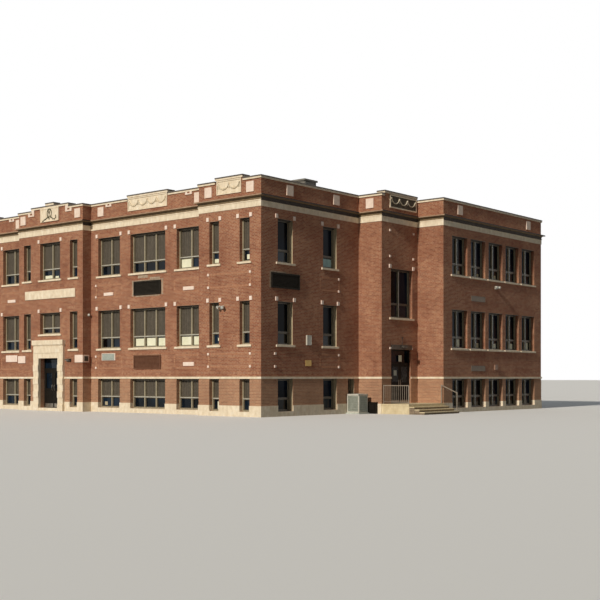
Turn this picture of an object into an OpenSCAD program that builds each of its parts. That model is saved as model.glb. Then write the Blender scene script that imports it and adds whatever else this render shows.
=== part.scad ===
// Two-storey brick school building on a raised ground storey, about 1920s, flat roof.
// X runs along the front from the entrance centre, Y runs back from the pavilion fronts,
// Z is up from the level ground. The right half is drawn and mirrored for the left half.

/* [Plan] */
// Distance from the entrance centre to the front corner of the building
front_half = 15670; // [15000:10:19000]
// Width of the entrance pavilion
entrance_w = 5670; // [5400:10:6400]
// Width of each corner pavilion
corner_w = 4040; // [3700:10:4600]
// How far the pavilions stand in front of the recessed walls
pavilion_out = 570; // [300:10:900]
// Length of the side wall from the front corner to the stair tower
side_len = 7510; // [7400:10:9100]
// How far the stair tower stands out from the side wall
tower_out = 1450; // [1100:10:1500]
// Length of the stair tower's side
tower_len = 3260; // [3200:10:3950]
// How far the rear block stands out from the stair tower
rear_out = 1600; // [1300:10:1600]
// Length of the rear block's side
rear_len = 10790; // [10100:10:13000]
// Thickness of the brick walls
wall_t = 400; // [330:10:480]

/* [Levels] */
// Top of the brick parapet above the ground
parapet_z = 11050; // [11000:10:13300]
// Extra height of the parapet behind the carved panels
parapet_raise = 160; // [100:10:240]
// Underside of the thin belt course
belt_z = 1770; // [1600:10:1850]
// Underside of the pale frieze band
frieze_z = 9750; // [9600:10:9760]
// Underside of the cornice ledge
ledge_z = 10110; // [10100:10:10200]
// Top of the plinth stones
plinth_h = 510; // [350:10:600]
// Sill level of the ground storey windows
ground_sill_z = 230; // [180:10:330]
// Sill level of the first storey windows
first_sill_z = 3370; // [3250:10:3500]
// Sill level of the second storey windows
second_sill_z = 7250; // [7150:10:7350]
// Height of the first and second storey windows
window_h = 2040; // [1700:10:2100]
// Top of the ground slab
ground_floor_z = 120; // [80:10:160]
// Top of the first floor
first_floor_z = 2500; // [2300:10:2700]
// Top of the second floor
second_floor_z = 6350; // [6100:10:6600]
// Top of the roof deck inside the parapet
roof_z = 10250; // [10150:10:10400]
// Thickness of the floor and roof slabs
slab_t = 250; // [180:10:300]
// Level of the side landings and stair hall floors
landing_z = 500; // [400:10:600]

/* [Window bays] */
// Width of brick between a recess's end and its outer window
recess_margin = 490; // [400:10:560]
// Shift of the recess bays towards the corner pavilion
recess_shift = 100; // [0:10:140]
// Width of a two-light recess window
double_w = 1760; // [1500:10:1860]
// Width of the three-light recess window
triple_w = 2640; // [2300:10:2760]
// Width of a narrow pavilion window
narrow_w = 640; // [480:10:740]
// Half the spacing of the narrow windows in a corner pavilion
corner_offset = 990; // [850:10:1100]
// Offset of the narrow windows from the entrance centre
entrance_offset = 2060; // [1960:10:2200]
// Width of the window over the entrance
entrance_window_w = 1780; // [1400:10:1900]
// Width of a side wall window
side_window_w = 1100; // [900:10:1300]
// Distance from the front corner to the first side window's centre
side_first_c = 1720; // [1500:10:1900]
// Distance from the front corner to the second side window's centre
side_second_c = 5130; // [4900:10:5400]
// Width of a rear block window
rear_window_w = 1530; // [1300:10:1600]
// Spacing of the rear block windows
rear_pitch = 1890; // [1850:10:1990]
// Distance from the rear corner to the centre of the outermost back window
back_margin = 2145; // [1900:10:2500]
// Number of window bays along each half of the back wall
back_bays = 7; // [4:1:7]
// Distance from the stair tower's front to the centre of the small ground window before it
small_window_c = 650; // [560:10:900]
// Width of the small ground window
small_window_w = 520; // [420:10:600]
// Sill level of the small ground window
small_window_z = 700; // [620:10:900]
// Centre of the door and stair window along the tower's side
tower_c = 1720; // [1600:10:1760]
// Width of the stair window
stair_window_w = 1950; // [1600:10:2000]
// Shift of the stair window's centre from the door's centre
stair_shift = 60; // [0:10:80]
// Sill level of the stair window
stair_sill_z = 4900; // [4700:10:5000]
// Height of the stair window
stair_window_h = 2510; // [2200:10:2600]

/* [Window parts] */
// Depth of the window reveal in front of the frame
reveal_d = 200; // [120:10:240]
// Depth of a window frame
frame_d = 80; // [50:5:110]
// Width of the outer frame members
frame_w = 62; // [45:1:80]
// Width of the sash members inside the frame
sash_w = 30; // [20:1:45]
// How far the sashes stand back from the face of the frame
sash_back = 22; // [10:1:40]
// Width of the mullions between lights
mullion_w = 74; // [50:1:100]
// Height of the rail between the upper panel and the lower pane
rail_h = 56; // [40:1:80]
// Share of an upper window's height below the rail
rail_share = 0.29; // [0.2:0.01:0.4]
// Share of a ground window's height below the rail
ground_rail_share = 0.39; // [0.3:0.01:0.5]
// Thickness of the glass and of the upper infill panels
pane_t = 12; // [6:1:20]
// Height of a sill's front edge
sill_h = 95; // [70:5:130]
// How far a sill stands out from the wall
sill_out = 60; // [40:5:90]
// How far a sill runs past the opening on each side
sill_ear = 125; // [80:5:160]

/* [Courses] */
// Height of the belt course
belt_h = 100; // [60:5:140]
// How far the belt course stands out
belt_out = 45; // [30:5:70]
// Height of the frieze band
frieze_h = 310; // [240:10:330]
// How far the frieze band stands out
frieze_out = 25; // [15:5:40]
// Height of the fillet along the top of the frieze band
frieze_lip_h = 45; // [30:5:80]
// How far that fillet stands out in front of the band
frieze_lip_out = 20; // [10:5:30]
// Height of the cornice ledge where it meets the wall
ledge_h = 200; // [160:5:220]
// How far the cornice ledge stands out
ledge_out = 190; // [150:5:220]
// Height of the upright nose of the cornice ledge
ledge_nose_h = 60; // [40:5:80]
// Thickness of the coping stones
coping_t = 80; // [60:5:110]
// Overhang of the coping on each side of the wall
coping_over = 50; // [30:5:80]
// Thickness of the metal cap on the coping
cap_t = 60; // [30:1:70]
// How far the metal cap laps over each edge of the coping
cap_lap = 12; // [5:1:20]
// How far the plinth stands out from the wall
plinth_out = 35; // [20:5:60]
// Width of the mortar joint where two course stones meet
stone_joint = 4; // [2:1:8]

/* [Side door] */
// Width of the side doorway
side_door_w = 1780; // [1480:10:2140]
// Height of the side doorway above the landing
side_door_h = 2780; // [2600:10:2900]
// Height of a door leaf
leaf_h = 2030; // [1980:5:2100]
// Thickness of a door leaf
leaf_t = 45; // [38:1:55]
// Gap round a door leaf
leaf_gap = 6; // [5:0.5:9]
// Width of a door frame member
door_frame_w = 60; // [45:1:80]
// Depth of a door frame
door_frame_d = 120; // [90:5:150]
// Depth of the reveal in front of a door frame
door_reveal = 90; // [60:5:140]
// Width of the stiles round a door leaf's panels
door_stile = 120; // [90:5:150]
// Height of the lintel hood over the side door
hood_h = 230; // [150:10:250]
// How far the lintel hood stands out
hood_out = 60; // [40:5:90]
// Radius of a hinge barrel
hinge_r = 8; // [6:0.5:10]
// Length of a hinge barrel, half of it on the leaf
hinge_len = 110; // [80:5:150]
// Depth of a side landing in front of the tower
landing_d = 1670; // [1400:10:1700]
// Depth of one landing step
tread_d = 300; // [280:10:330]
// Number of steps below a landing
step_count = 3; // [2:1:3]
// Height of the railing above the landing
rail_top = 950; // [850:10:1070]
// Thickness of the railing posts and handrails
rail_post = 40; // [30:5:50]
// Thickness of the railing balusters
baluster_t = 18; // [12:1:22]

/* [Main entrance] */
// Width of the main doorway
entrance_door_w = 1700; // [1500:10:1800]
// Height of the main doorway
entrance_door_h = 2900; // [2600:10:3000]
// Width of the stone surround's pilasters
pilaster_w = 460; // [380:10:500]
// Height of the whole stone surround
surround_h = 3900; // [3700:10:4000]
// How far the stone surround stands out
surround_out = 150; // [100:10:200]
// Height of the cornice block on top of the surround
surround_cap_h = 260; // [200:10:300]
// Height of the step in the main doorway
step_h = 150; // [120:10:180]
// Width of the blank name tablet
name_w = 4440; // [3600:10:4600]
// Height of the blank name tablet
name_h = 470; // [400:10:560]
// Underside of the blank name tablet
name_z = 6200; // [6100:10:6350]

/* [Carved stones] */
// Width of a parapet tablet
tablet_w = 470; // [380:10:520]
// Height of a parapet tablet
tablet_h = 490; // [400:10:520]
// Distance from the top of the brick parapet down to the tablets
tablet_drop = 100; // [60:10:160]
// Width of brick between an entrance tablet and the pavilion's edge
tablet_margin = 185; // [120:10:260]
// Width of brick between a corner relief panel and its tablets
tablet_gap = 330; // [240:10:360]
// Height of the notched stones under the recess copings
notch_h = 140; // [110:10:200]
// Height of the stones that carry the stepped coping beside the crest
kneeler_h = 180; // [140:10:240]
// Width of the stones that carry the stepped coping
kneeler_w = 550; // [450:10:600]
// Height of the carved relief panels
relief_h = 680; // [600:10:690]
// Distance from the raised coping down to the relief panels
relief_drop = 20; // [10:10:60]
// How far a carved stone stands out from the wall
carved_out = 45; // [35:5:60]
// Width of the relief panel over each recess
recess_relief_w = 2970; // [2600:10:3100]
// Width of the relief panel on each corner pavilion
corner_relief_w = 1590; // [1400:10:1700]
// Width of the relief panel on each stair tower
tower_relief_w = 2420; // [2000:10:2480]
// Distance from the tower relief panel to the rear block
tower_relief_end = 145; // [130:5:200]
// Width of the plain frame round a relief panel
relief_border = 60; // [40:5:80]
// Radius of the carved festoons
festoon_r = 28; // [20:1:36]
// Sag of the festoons as a share of the panel height
festoon_sag = 0.36; // [0.25:0.01:0.42]
// Radius of the rosettes that the festoons hang from
rosette_r = 48; // [36:1:58]
// Width of the raised parapet over the entrance
entrance_raise_w = 3200; // [2900:10:3400]
// Distance from the tower's front to its raised parapet
tower_raise_start = 265; // [200:5:400]
// Width of the stone crest over the entrance
crest_w = 1620; // [1400:10:1700]
// Height of the stone crest
crest_h = 750; // [620:10:780]
// Width of the cap stone on the crest
crest_cap_w = 740; // [600:10:900]
// Height of the cap stone on the crest
crest_cap_h = 100; // [80:10:180]
// Radius of the wreath on the crest
wreath_r = 190; // [150:10:230]
// Width of a label block at a window head
label_w = 160; // [90:10:170]
// Height of a label block
label_h = 190; // [140:10:220]
// Distance from the window head up to a label block
label_lift = 25; // [10:5:50]
// Distance from the window jamb out to a label block's centre
label_shift = 90; // [85:5:120]
// Width of the corner stones on the entrance pavilion's front
corner_stone_w = 630; // [400:10:700]
// Width of the corner stones on the short return walls
return_stone_w = 390; // [200:10:420]
// Height of the corner stones
corner_stone_h = 400; // [300:10:480]
// Side of the small square stones beside the spandrels
mark_w = 110; // [80:10:140]

/* [Wall fittings] */
// Width of a spandrel louvre
louvre_w = 2050; // [1800:10:2200]
// Height of a spandrel louvre
louvre_h = 720; // [600:10:760]
// Depth of a spandrel louvre in front of the wall
louvre_out = 55; // [40:5:80]
// Number of blades in a spandrel louvre
louvre_blades = 9; // [6:1:12]
// Side of the condenser unit
condenser_w = 740; // [600:10:900]
// Height of the condenser unit
condenser_h = 930; // [800:10:1000]
// Width of the electrical box
box_w = 470; // [350:10:520]
// Height of the electrical box
box_h = 580; // [450:10:700]
// Diameter of a floodlight head
lamp_head_d = 170; // [120:5:200]
// Length of a floodlight head
lamp_head_len = 190; // [150:5:240]
// Depth of a floodlight's junction box
lamp_box_d = 70; // [50:5:100]
// Width of a lamp beside a door
door_light_w = 340; // [240:10:400]
// How far a door lamp stands out
door_light_d = 190; // [140:5:240]
// Radius of the small half-round lamp
dome_r = 75; // [50:5:100]
// Width of the small wall boxes
meter_box_w = 340; // [260:10:460]
// Height of the wall box between the side windows
meter_box_h = 480; // [400:10:560]
// Depth of the small wall boxes
meter_box_d = 80; // [50:5:120]
// Thickness of the bare wall plates
plate_t = 20; // [10:1:30]
// Width of the bare plate on the side wall
notice_w = 440; // [360:10:500]
// Height of the bare plate on the side wall
notice_h = 280; // [220:10:320]
// Width of the bare plates on the rear block
plaque_w = 1480; // [1200:10:1600]
// Height of the bare plates on the rear block
plaque_h = 300; // [240:10:340]
// Width of the roof hatch
hatch_w = 900; // [700:10:1200]
// Height of the roof hatch above the roof deck
hatch_h = 1380; // [1000:10:1500]

/* [Hidden] */
$fn = 24;

brick_c = "#8f5644";
stone_c = "#e2d2b0";
ledge_c = "#8d7a68";
cap_c = "#4a3f38";
frame_c = "#a89b80";
panel_c = "#564c3e";
glass_c = "#2b3440";
metal_c = "#3a332e";
concrete_c = "#b9b2a4";
door_c = "#2a2523";
condenser_c = "#b4b9a8";
eps = 1;

recess_x = front_half - corner_w;
tower_x = front_half + tower_out;
rear_x = tower_x + rear_out;
tower_y = side_len;
rear_y = side_len + tower_len;
depth = rear_y + rear_len;

// Outer corners of the right half, walked with the building on the left hand
corners = [
    [-entrance_w / 2, 0], [entrance_w / 2, 0], [entrance_w / 2, pavilion_out],
    [recess_x, pavilion_out], [recess_x, 0], [front_half, 0],
    [front_half, tower_y], [tower_x, tower_y], [tower_x, rear_y],
    [rear_x, rear_y], [rear_x, depth], [-rear_x, depth]
];

// Wall runs between those corners
ENTRANCE = 0;
ENTRANCE_RETURN = 1;
RECESS = 2;
CORNER_RETURN = 3;
CORNER = 4;
SIDE = 5;
TOWER_FRONT = 6;
TOWER_SIDE = 7;
REAR_FRONT = 8;
REAR_SIDE = 9;
BACK = 10;
ALL_RUNS = [ENTRANCE : BACK];
LABEL_RUNS = [ENTRANCE, RECESS, CORNER, SIDE, TOWER_SIDE];

function run_len(i) = norm(corners[i + 1] - corners[i]);
function run_step(i) = (corners[i + 1] - corners[i]) / run_len(i);
function run_angle(i) = atan2(run_step(i).y, run_step(i).x);

// 1 where the building's corner sticks out, -1 where it turns in
function turn(i) =
    i == 0 || i == len(corners) - 1
        ? 1
        : sign(cross(corners[i] - corners[i - 1], corners[i + 1] - corners[i]));

// Runs along Y give way to the runs along X at the corners
function slab_trim(i, end) = i % 2 == 0 ? 0 : turn(i + end) * wall_t;

// Windows as [centre, width, lights, sill level, height]
function storeys(c, w, lights) = [
    [c, w, lights, ground_sill_z, belt_z - ground_sill_z],
    [c, w, lights, first_sill_z, window_h],
    [c, w, lights, second_sill_z, window_h]
];
function join(lists) = [for (l = lists) each l];
function stacks(centres, w, lights) = join([for (c = centres) storeys(c, w, lights)]);

recess_c = run_len(RECESS) / 2 + recess_shift;
recess_pitch = (run_len(RECESS) - 2 * recess_margin - double_w) / 2;
corner_c = run_len(CORNER) / 2;
entrance_c = entrance_w / 2;
rear_c = rear_len / 2;
back_c = rear_x;
back_pitch = (rear_x - back_margin) / (back_bays - 0.5);
porch_window_z = surround_h + 330;
porch_window_h = first_sill_z + window_h - porch_window_z;
small_window = [side_len - small_window_c, small_window_w, 1, small_window_z, belt_z - small_window_z];
stair_window = [tower_c + stair_shift, stair_window_w, 2, stair_sill_z, stair_window_h];

function windows(i) =
    i == ENTRANCE
        ? concat(
            stacks([entrance_c - entrance_offset, entrance_c + entrance_offset], narrow_w, 1),
            [
                [entrance_c, entrance_window_w, 2, porch_window_z, porch_window_h],
                [entrance_c, entrance_window_w, 2, second_sill_z, window_h]
            ])
    : i == RECESS
        ? concat(
            stacks([recess_c - recess_pitch, recess_c + recess_pitch], double_w, 2),
            storeys(recess_c, triple_w, 3))
    : i == CORNER
        ? stacks([corner_c - corner_offset, corner_c + corner_offset], narrow_w, 1)
    : i == SIDE
        ? concat(stacks([side_first_c, side_second_c], side_window_w, 1), [small_window])
    : i == TOWER_SIDE
        ? [stair_window]
    : i == REAR_SIDE
        ? stacks([for (k = [-2 : 2]) rear_c + k * rear_pitch], rear_window_w, 2)
    : i == BACK
        ? stacks([for (k = [0.5 : back_bays], s = [-1, 1]) back_c + s * k * back_pitch], double_w, 2)
    : [];

// Shared placing

module mirrored() {
    children();
    mirror([1, 0, 0]) children();
}

// Puts its children on a wall: X to the right seen from outside, Y into the wall, Z up
module on_run(i) {
    translate([corners[i].x, corners[i].y, 0])
        rotate([0, 0, run_angle(i)])
            children();
}

// Calls its children on one run, and on its twin where the run has one
module on_both(i) {
    if (i == ENTRANCE || i == BACK) {
        on_run(i) children();
    } else {
        mirrored() on_run(i) children();
    }
}

// An upright outline, drawn as width and height, pushed into the wall from y to y + d
module upright(y, d) {
    translate([0, y + d, 0])
        rotate([90, 0, 0])
            linear_extrude(height = d)
                children();
}

// A section, drawn as depth into the wall and height, run along the wall from u
module moulding(u, w) {
    translate([u, 0, 0])
        rotate([90, 0, 90])
            linear_extrude(height = w)
                children();
}

// Children as drawn, or mirrored along the wall for the left one of a pair
module facing(s) {
    if (s > 0) {
        children();
    } else {
        mirror([1, 0, 0]) children();
    }
}

// A box centred on c along the wall
module wall_box(c, w, y, d, z, h) {
    translate([c - w / 2, y, z]) cube([w, d, h]);
}

// Walls

module wall_slab(i, z0 = 0, z1 = parapet_z) {
    u0 = slab_trim(i, 0);
    u1 = run_len(i) - slab_trim(i, 1);
    difference() {
        translate([u0, 0, z0]) cube([u1 - u0, wall_t, z1 - z0]);
        for (w = windows(i)) {
            wall_box(w[0], w[1], -eps, wall_t + 2 * eps, w[3], w[4]);
        }
        if (i == ENTRANCE) {
            wall_box(entrance_c, entrance_door_w, -eps, wall_t + 2 * eps, -eps, entrance_door_h + eps);
        }
    }
}

module entrance_front_wall() {
    color(brick_c) on_both(ENTRANCE) wall_slab(ENTRANCE);
}

module recess_walls() {
    color(brick_c) on_both(RECESS) wall_slab(RECESS);
}

module corner_front_walls() {
    color(brick_c) on_both(CORNER) wall_slab(CORNER);
}

module side_walls() {
    color(brick_c) on_both(SIDE) wall_slab(SIDE);
}

module return_walls() {
    color(brick_c)
        for (i = [ENTRANCE_RETURN, CORNER_RETURN, TOWER_FRONT, REAR_FRONT]) {
            on_both(i) wall_slab(i);
        }
}

door_head_z = landing_z + side_door_h;

module tower_door_piers() {
    left_w = tower_c - side_door_w / 2 - slab_trim(TOWER_SIDE, 0);
    right_u = tower_c + side_door_w / 2;
    right_w = run_len(TOWER_SIDE) - slab_trim(TOWER_SIDE, 1) - right_u;
    color(brick_c)
        on_both(TOWER_SIDE) {
            translate([slab_trim(TOWER_SIDE, 0), 0, 0]) cube([left_w, wall_t, door_head_z]);
            translate([right_u, 0, 0]) cube([right_w, wall_t, door_head_z]);
        }
}

module tower_upper_walls() {
    color(brick_c) on_both(TOWER_SIDE) wall_slab(TOWER_SIDE, door_head_z);
}

module rear_block_side_walls() {
    color(brick_c) on_both(REAR_SIDE) wall_slab(REAR_SIDE);
}

module back_wall() {
    color(brick_c) on_both(BACK) wall_slab(BACK);
}

// Floors and roof

plate_joint = 12;
inner_y = pavilion_out + wall_t;
hall_y = tower_y + wall_t;
rear_in_y = rear_y + wall_t;

// One rectangular plate between inner wall faces
module plate(x0, x1, y0, y1, z, t) {
    translate([x0, y0, z - t]) cube([x1 - x0, y1 - y0, t]);
}

// The plates of one level, split where the building steps
module level_plates(z, t) {
    main_x = front_half - wall_t;
    rear_in_x = rear_x - wall_t;
    plate(-entrance_w / 2 + wall_t, entrance_w / 2 - wall_t, wall_t, inner_y - plate_joint, z, t);
    mirrored() plate(recess_x + wall_t, main_x, wall_t, inner_y - plate_joint, z, t);
    plate(-main_x, main_x, inner_y, hall_y - plate_joint, z, t);
    plate(-main_x, main_x, hall_y, rear_in_y - plate_joint, z, t);
    plate(-rear_in_x, rear_in_x, rear_in_y, depth - wall_t, z, t);
}

// The plates of the stair halls beside the main plates
module hall_plates(z, t) {
    mirrored()
        plate(front_half - wall_t + plate_joint, tower_x - wall_t,
            hall_y, rear_in_y - plate_joint, z, t);
}

module ground_slabs() {
    color(concrete_c) {
        level_plates(ground_floor_z, ground_floor_z);
        hall_plates(ground_floor_z, ground_floor_z);
    }
}

module upper_floor_slabs() {
    color(concrete_c) {
        level_plates(first_floor_z, slab_t);
        level_plates(second_floor_z, slab_t);
    }
}

module roof_slabs() {
    color("#8b8781") {
        level_plates(roof_z, slab_t);
        hall_plates(roof_z, slab_t);
    }
}

module stair_hall_floors() {
    color(concrete_c) hall_plates(landing_z, landing_z - ground_floor_z);
}

// Courses

// Plan of a course on one run, mitred at the corners, from out in front of the face to back
module mitred_plan(i, out, back, from = undef, to = undef) {
    j = stone_joint / 2;
    far = run_len(i);
    start_out = is_undef(from) ? -turn(i) * out + j : from;
    start_back = is_undef(from) ? turn(i) * back + j : from;
    end_out = is_undef(to) ? far + turn(i + 1) * out - j : to;
    end_back = is_undef(to) ? far - turn(i + 1) * back - j : to;
    polygon([[start_out, -out], [end_out, -out], [end_back, back], [start_back, back]]);
}

module course(i, out, back, z, h, from = undef, to = undef) {
    translate([0, 0, z])
        linear_extrude(height = h)
            mitred_plan(i, out, back, from, to);
}

door_left = tower_c - side_door_w / 2;
door_right = tower_c + side_door_w / 2;

module plinth_stones() {
    color(stone_c)
        for (i = ALL_RUNS) {
            if (i != TOWER_SIDE && i != REAR_FRONT) {
                on_both(i)
                    difference() {
                        course(i, plinth_out, 0, 0, plinth_h,
                            i == REAR_SIDE ? 0 : undef,
                            i == TOWER_FRONT ? run_len(i) : undef);
                        for (w = windows(i)) {
                            wall_box(w[0], w[1], -plinth_out - eps, plinth_out + 2 * eps, w[3], w[4]);
                        }
                        if (i == ENTRANCE) {
                            wall_box(entrance_c, entrance_door_w + 2 * pilaster_w + stone_joint,
                                -plinth_out - eps, plinth_out + 2 * eps, -eps, plinth_h + 2 * eps);
                        }
                    }
            }
        }
}

// A course that the side doorway or the main surround interrupts
module belt_on(i) {
    half_surround = entrance_door_w / 2 + pilaster_w + stone_joint / 2;
    if (i == TOWER_SIDE) {
        course(i, belt_out, 0, belt_z, belt_h, undef, door_left);
        course(i, belt_out, 0, belt_z, belt_h, door_right, undef);
    } else if (i == ENTRANCE) {
        course(i, belt_out, 0, belt_z, belt_h, undef, entrance_c - half_surround);
        course(i, belt_out, 0, belt_z, belt_h, entrance_c + half_surround, undef);
    } else {
        course(i, belt_out, 0, belt_z, belt_h);
    }
}

module belt_course() {
    color(stone_c)
        for (i = ALL_RUNS) {
            on_both(i) belt_on(i);
        }
}

module frieze_band() {
    color(stone_c)
        for (i = ALL_RUNS) {
            on_both(i) {
                course(i, frieze_out, 0, frieze_z, frieze_h);
                course(i, frieze_out + frieze_lip_out, 0, frieze_z + frieze_h - frieze_lip_h, frieze_lip_h);
            }
        }
}

// Ledge section: a bed mould, a hollow cove, an upright nose and a top that sheds rain
module ledge_section() {
    bed = ledge_h * 0.15;
    slope = ledge_h * 0.08;
    nose_z = ledge_h - slope - ledge_nose_h;
    cove_out = ledge_out * 0.8;
    polygon(concat(
        [[0, 0], [-bed, 0]],
        [for (a = [0 : 18 : 90])
            [-cove_out + (cove_out - bed) * cos(a), bed + (nose_z - bed) * sin(a)]],
        [[-ledge_out, nose_z], [-ledge_out, ledge_h - slope], [0, ledge_h]]
    ));
}

module cornice_ledge() {
    color(ledge_c)
        for (i = ALL_RUNS) {
            on_both(i)
                intersection() {
                    course(i, ledge_out, 0, ledge_z - eps, ledge_h + 2 * eps);
                    translate([0, 0, ledge_z])
                        moulding(-ledge_out - eps, run_len(i) + 2 * (ledge_out + eps))
                            ledge_section();
                }
        }
}

// Parapet

cap_over = coping_over + cap_lap;
tower_raise_w = tower_len - tower_raise_start - 2 * cap_over - stone_joint;

// Raised lengths of parapet as [run, centre, width]
raised = [
    [ENTRANCE, entrance_c, entrance_raise_w],
    [RECESS, recess_c, recess_relief_w],
    [CORNER, corner_c, corner_relief_w + 2 * coping_over],
    [TOWER_SIDE, tower_raise_start + tower_raise_w / 2, tower_raise_w]
];

module raised_parapets() {
    color(brick_c)
        for (r = raised) {
            on_both(r[0]) wall_box(r[1], r[2], 0, wall_t, parapet_z, parapet_raise);
        }
}

// A layer on top of the parapet that steps up over each raised length
module parapet_layer(over, z, t) {
    difference() {
        for (i = ALL_RUNS) {
            on_both(i) course(i, over, wall_t + over, z, t);
        }
        for (r = raised) {
            on_both(r[0])
                wall_box(r[1], r[2] + 2 * (over + stone_joint), -2 * over, wall_t + 4 * over,
                    z - eps, t + 2 * eps);
        }
    }
    for (r = raised) {
        on_both(r[0]) wall_box(r[1], r[2] + 2 * over, -over, wall_t + 2 * over, z + parapet_raise, t);
    }
}

module parapet_coping() {
    color(stone_c) parapet_layer(coping_over, parapet_z, coping_t);
}

module cap_flashing() {
    color(cap_c) {
        parapet_layer(cap_over, parapet_z + coping_t, cap_t);
        on_both(ENTRANCE)
            wall_box(entrance_c, crest_cap_w + 2 * cap_lap, -carved_out - cap_lap,
                wall_t + carved_out + 2 * cap_lap, crest_cap_z + crest_cap_h, cap_t);
    }
}

// Carved stones

tablet_z = parapet_z - tablet_drop - tablet_h;
entrance_tablet = entrance_w / 2 - tablet_margin - tablet_w / 2;
recess_tablet = recess_pitch + (double_w - tablet_w) / 2;
corner_tablet = (corner_relief_w + tablet_w) / 2 + tablet_gap;

// Tablets as [run, distance along the run]
tablets = concat(
    [for (s = [-1, 1]) [ENTRANCE, entrance_c + s * entrance_tablet]],
    [for (s = [-1, 1]) [RECESS, recess_c + s * recess_tablet]],
    [for (s = [-1, 1]) [CORNER, corner_c + s * corner_tablet]],
    [[SIDE, side_first_c + (side_window_w - tablet_w) / 2], [SIDE, side_second_c + side_window_w * 0.45]],
    [[TOWER_FRONT, tower_out / 2]],
    [for (s = [-1, 1]) [REAR_SIDE, rear_c + s * 2 * rear_pitch]],
    [for (k = [2, back_bays - 1], s = [-1, 1]) [BACK, back_c + s * k * back_pitch]]
);

// A notched stone: it hangs from the coping and has a small slot in its top edge
module notch_outline(w, h) {
    slot = w * 0.36;
    difference() {
        translate([-w / 2, 0]) square([w, h]);
        translate([-slot / 2, h * 0.45]) square([slot, h]);
    }
}

// A kneeler: a notched stone whose inner half rises to the stepped coping
module kneeler_outline() {
    notch_outline(kneeler_w, kneeler_h);
    translate([-kneeler_w / 2, kneeler_h - eps])
        square([(kneeler_w - cap_over) / 2, parapet_raise + eps]);
}

module parapet_tablets() {
    color(stone_c) {
        for (t = tablets) {
            on_both(t[0]) wall_box(t[1], tablet_w, -carved_out, carved_out, tablet_z, tablet_h);
        }
        for (s = [-1, 1]) {
            on_both(RECESS)
                translate([recess_c + s * recess_pitch, 0, parapet_z - notch_h])
                    upright(-carved_out, carved_out)
                        notch_outline(tablet_w, notch_h);
            on_both(ENTRANCE)
                translate([entrance_c + s * (entrance_raise_w / 2 + cap_over), 0, parapet_z - kneeler_h])
                    facing(s)
                        upright(-carved_out, carved_out)
                            kneeler_outline();
        }
    }
}

// A festoon: a drooping swag of even thickness hung between two knots
module festoon(span, drop) {
    r = (span * span / 4 + drop * drop) / (2 * drop);
    half_angle = asin(span / 2 / r);
    translate([0, 0, r - drop])
        rotate([90, 0, 0])
            rotate([0, 0, 270 - half_angle])
                rotate_extrude(angle = 2 * half_angle, $fn = 96)
                    translate([r, 0])
                        circle(r = festoon_r);
}

module rosette(r, h) {
    rotate([90, 0, 0]) cylinder(r = r, h = h);
    rotate([90, 0, 0]) cylinder(r = r * 0.5, h = h + 14);
}

// A relief panel: a framed stone slab with festoons and ribbon tails hung between rosettes
module relief_panel(w, swags) {
    field = carved_out * 0.4;
    knot_z = relief_h * 0.72;
    tail = relief_h * 0.3;
    first = -w / 2 + relief_border + rosette_r + 12;
    span = -2 * first / swags;
    translate([-w / 2, -field, 0]) cube([w, field, relief_h]);
    upright(-carved_out, carved_out)
        difference() {
            translate([-w / 2, 0]) square([w, relief_h]);
            translate([-w / 2 + relief_border, relief_border])
                square([w - 2 * relief_border, relief_h - 2 * relief_border]);
        }
    for (k = [0 : swags - 1]) {
        translate([first + (k + 0.5) * span, -festoon_r - 3, knot_z])
            festoon(span - rosette_r, relief_h * festoon_sag);
    }
    for (k = [0 : swags]) {
        translate([first + k * span, 0, knot_z]) {
            translate([0, -field + eps, 0]) rosette(rosette_r, 2 * festoon_r + 8 - field);
            translate([0, 0, -tail])
                upright(-field - 16, 16 + eps)
                    polygon([[-28, 0], [28, 0], [14, tail], [-14, tail]]);
        }
    }
}

relief_z = parapet_z + parapet_raise - relief_drop - relief_h;
tower_relief_c = tower_len - tower_relief_end - tower_relief_w / 2;

module relief_panels() {
    color(stone_c) {
        on_both(RECESS) translate([recess_c, 0, relief_z]) relief_panel(recess_relief_w, 4);
        on_both(CORNER) translate([corner_c, 0, relief_z]) relief_panel(corner_relief_w, 2);
        on_both(TOWER_SIDE) translate([tower_relief_c, 0, relief_z]) relief_panel(tower_relief_w, 3);
    }
}

crest_top = parapet_z + parapet_raise;
crest_z = crest_top - crest_h;
crest_cap_z = crest_top + coping_t + cap_t;

// The crest: a stepped slab with a plain wreath and a torch-like staff inside it
module entrance_crest() {
    wreath_z = crest_z + crest_h * 0.64;
    staff_z = crest_z + crest_h * 0.14;
    color(stone_c)
        on_both(ENTRANCE) {
            wall_box(entrance_c, crest_w, -carved_out, carved_out, crest_z, crest_h);
            translate([entrance_c, -carved_out - festoon_r * 0.4, wreath_z])
                rotate([90, 0, 0])
                    rotate_extrude($fn = 64)
                        translate([wreath_r, 0])
                            circle(r = festoon_r);
            translate([entrance_c, -carved_out - festoon_r * 0.3, staff_z])
                cylinder(r = festoon_r, h = wreath_z + wreath_r * 0.5 - staff_z);
            wall_box(entrance_c, crest_cap_w, -carved_out, wall_t + carved_out, crest_cap_z, crest_cap_h);
        }
}

module name_tablet() {
    color(stone_c) on_both(ENTRANCE) wall_box(entrance_c, name_w, -carved_out, carved_out, name_z, name_h);
}

module label_blocks() {
    color(stone_c)
        for (i = LABEL_RUNS, w = windows(i)) {
            if (w[3] > belt_z && (i != ENTRANCE || w[2] > 1)) {
                on_both(i)
                    for (s = [-1, 1]) {
                        wall_box(w[0] + s * (w[1] / 2 + label_shift), label_w,
                            -carved_out, carved_out, w[3] + w[4] + label_lift, label_h);
                    }
            }
        }
}

// Levels of the small square stones under the first and second storey windows
mark_levels = [
    first_sill_z - 1070, first_sill_z - 470, second_sill_z - 1160, second_sill_z - 550
];

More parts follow.
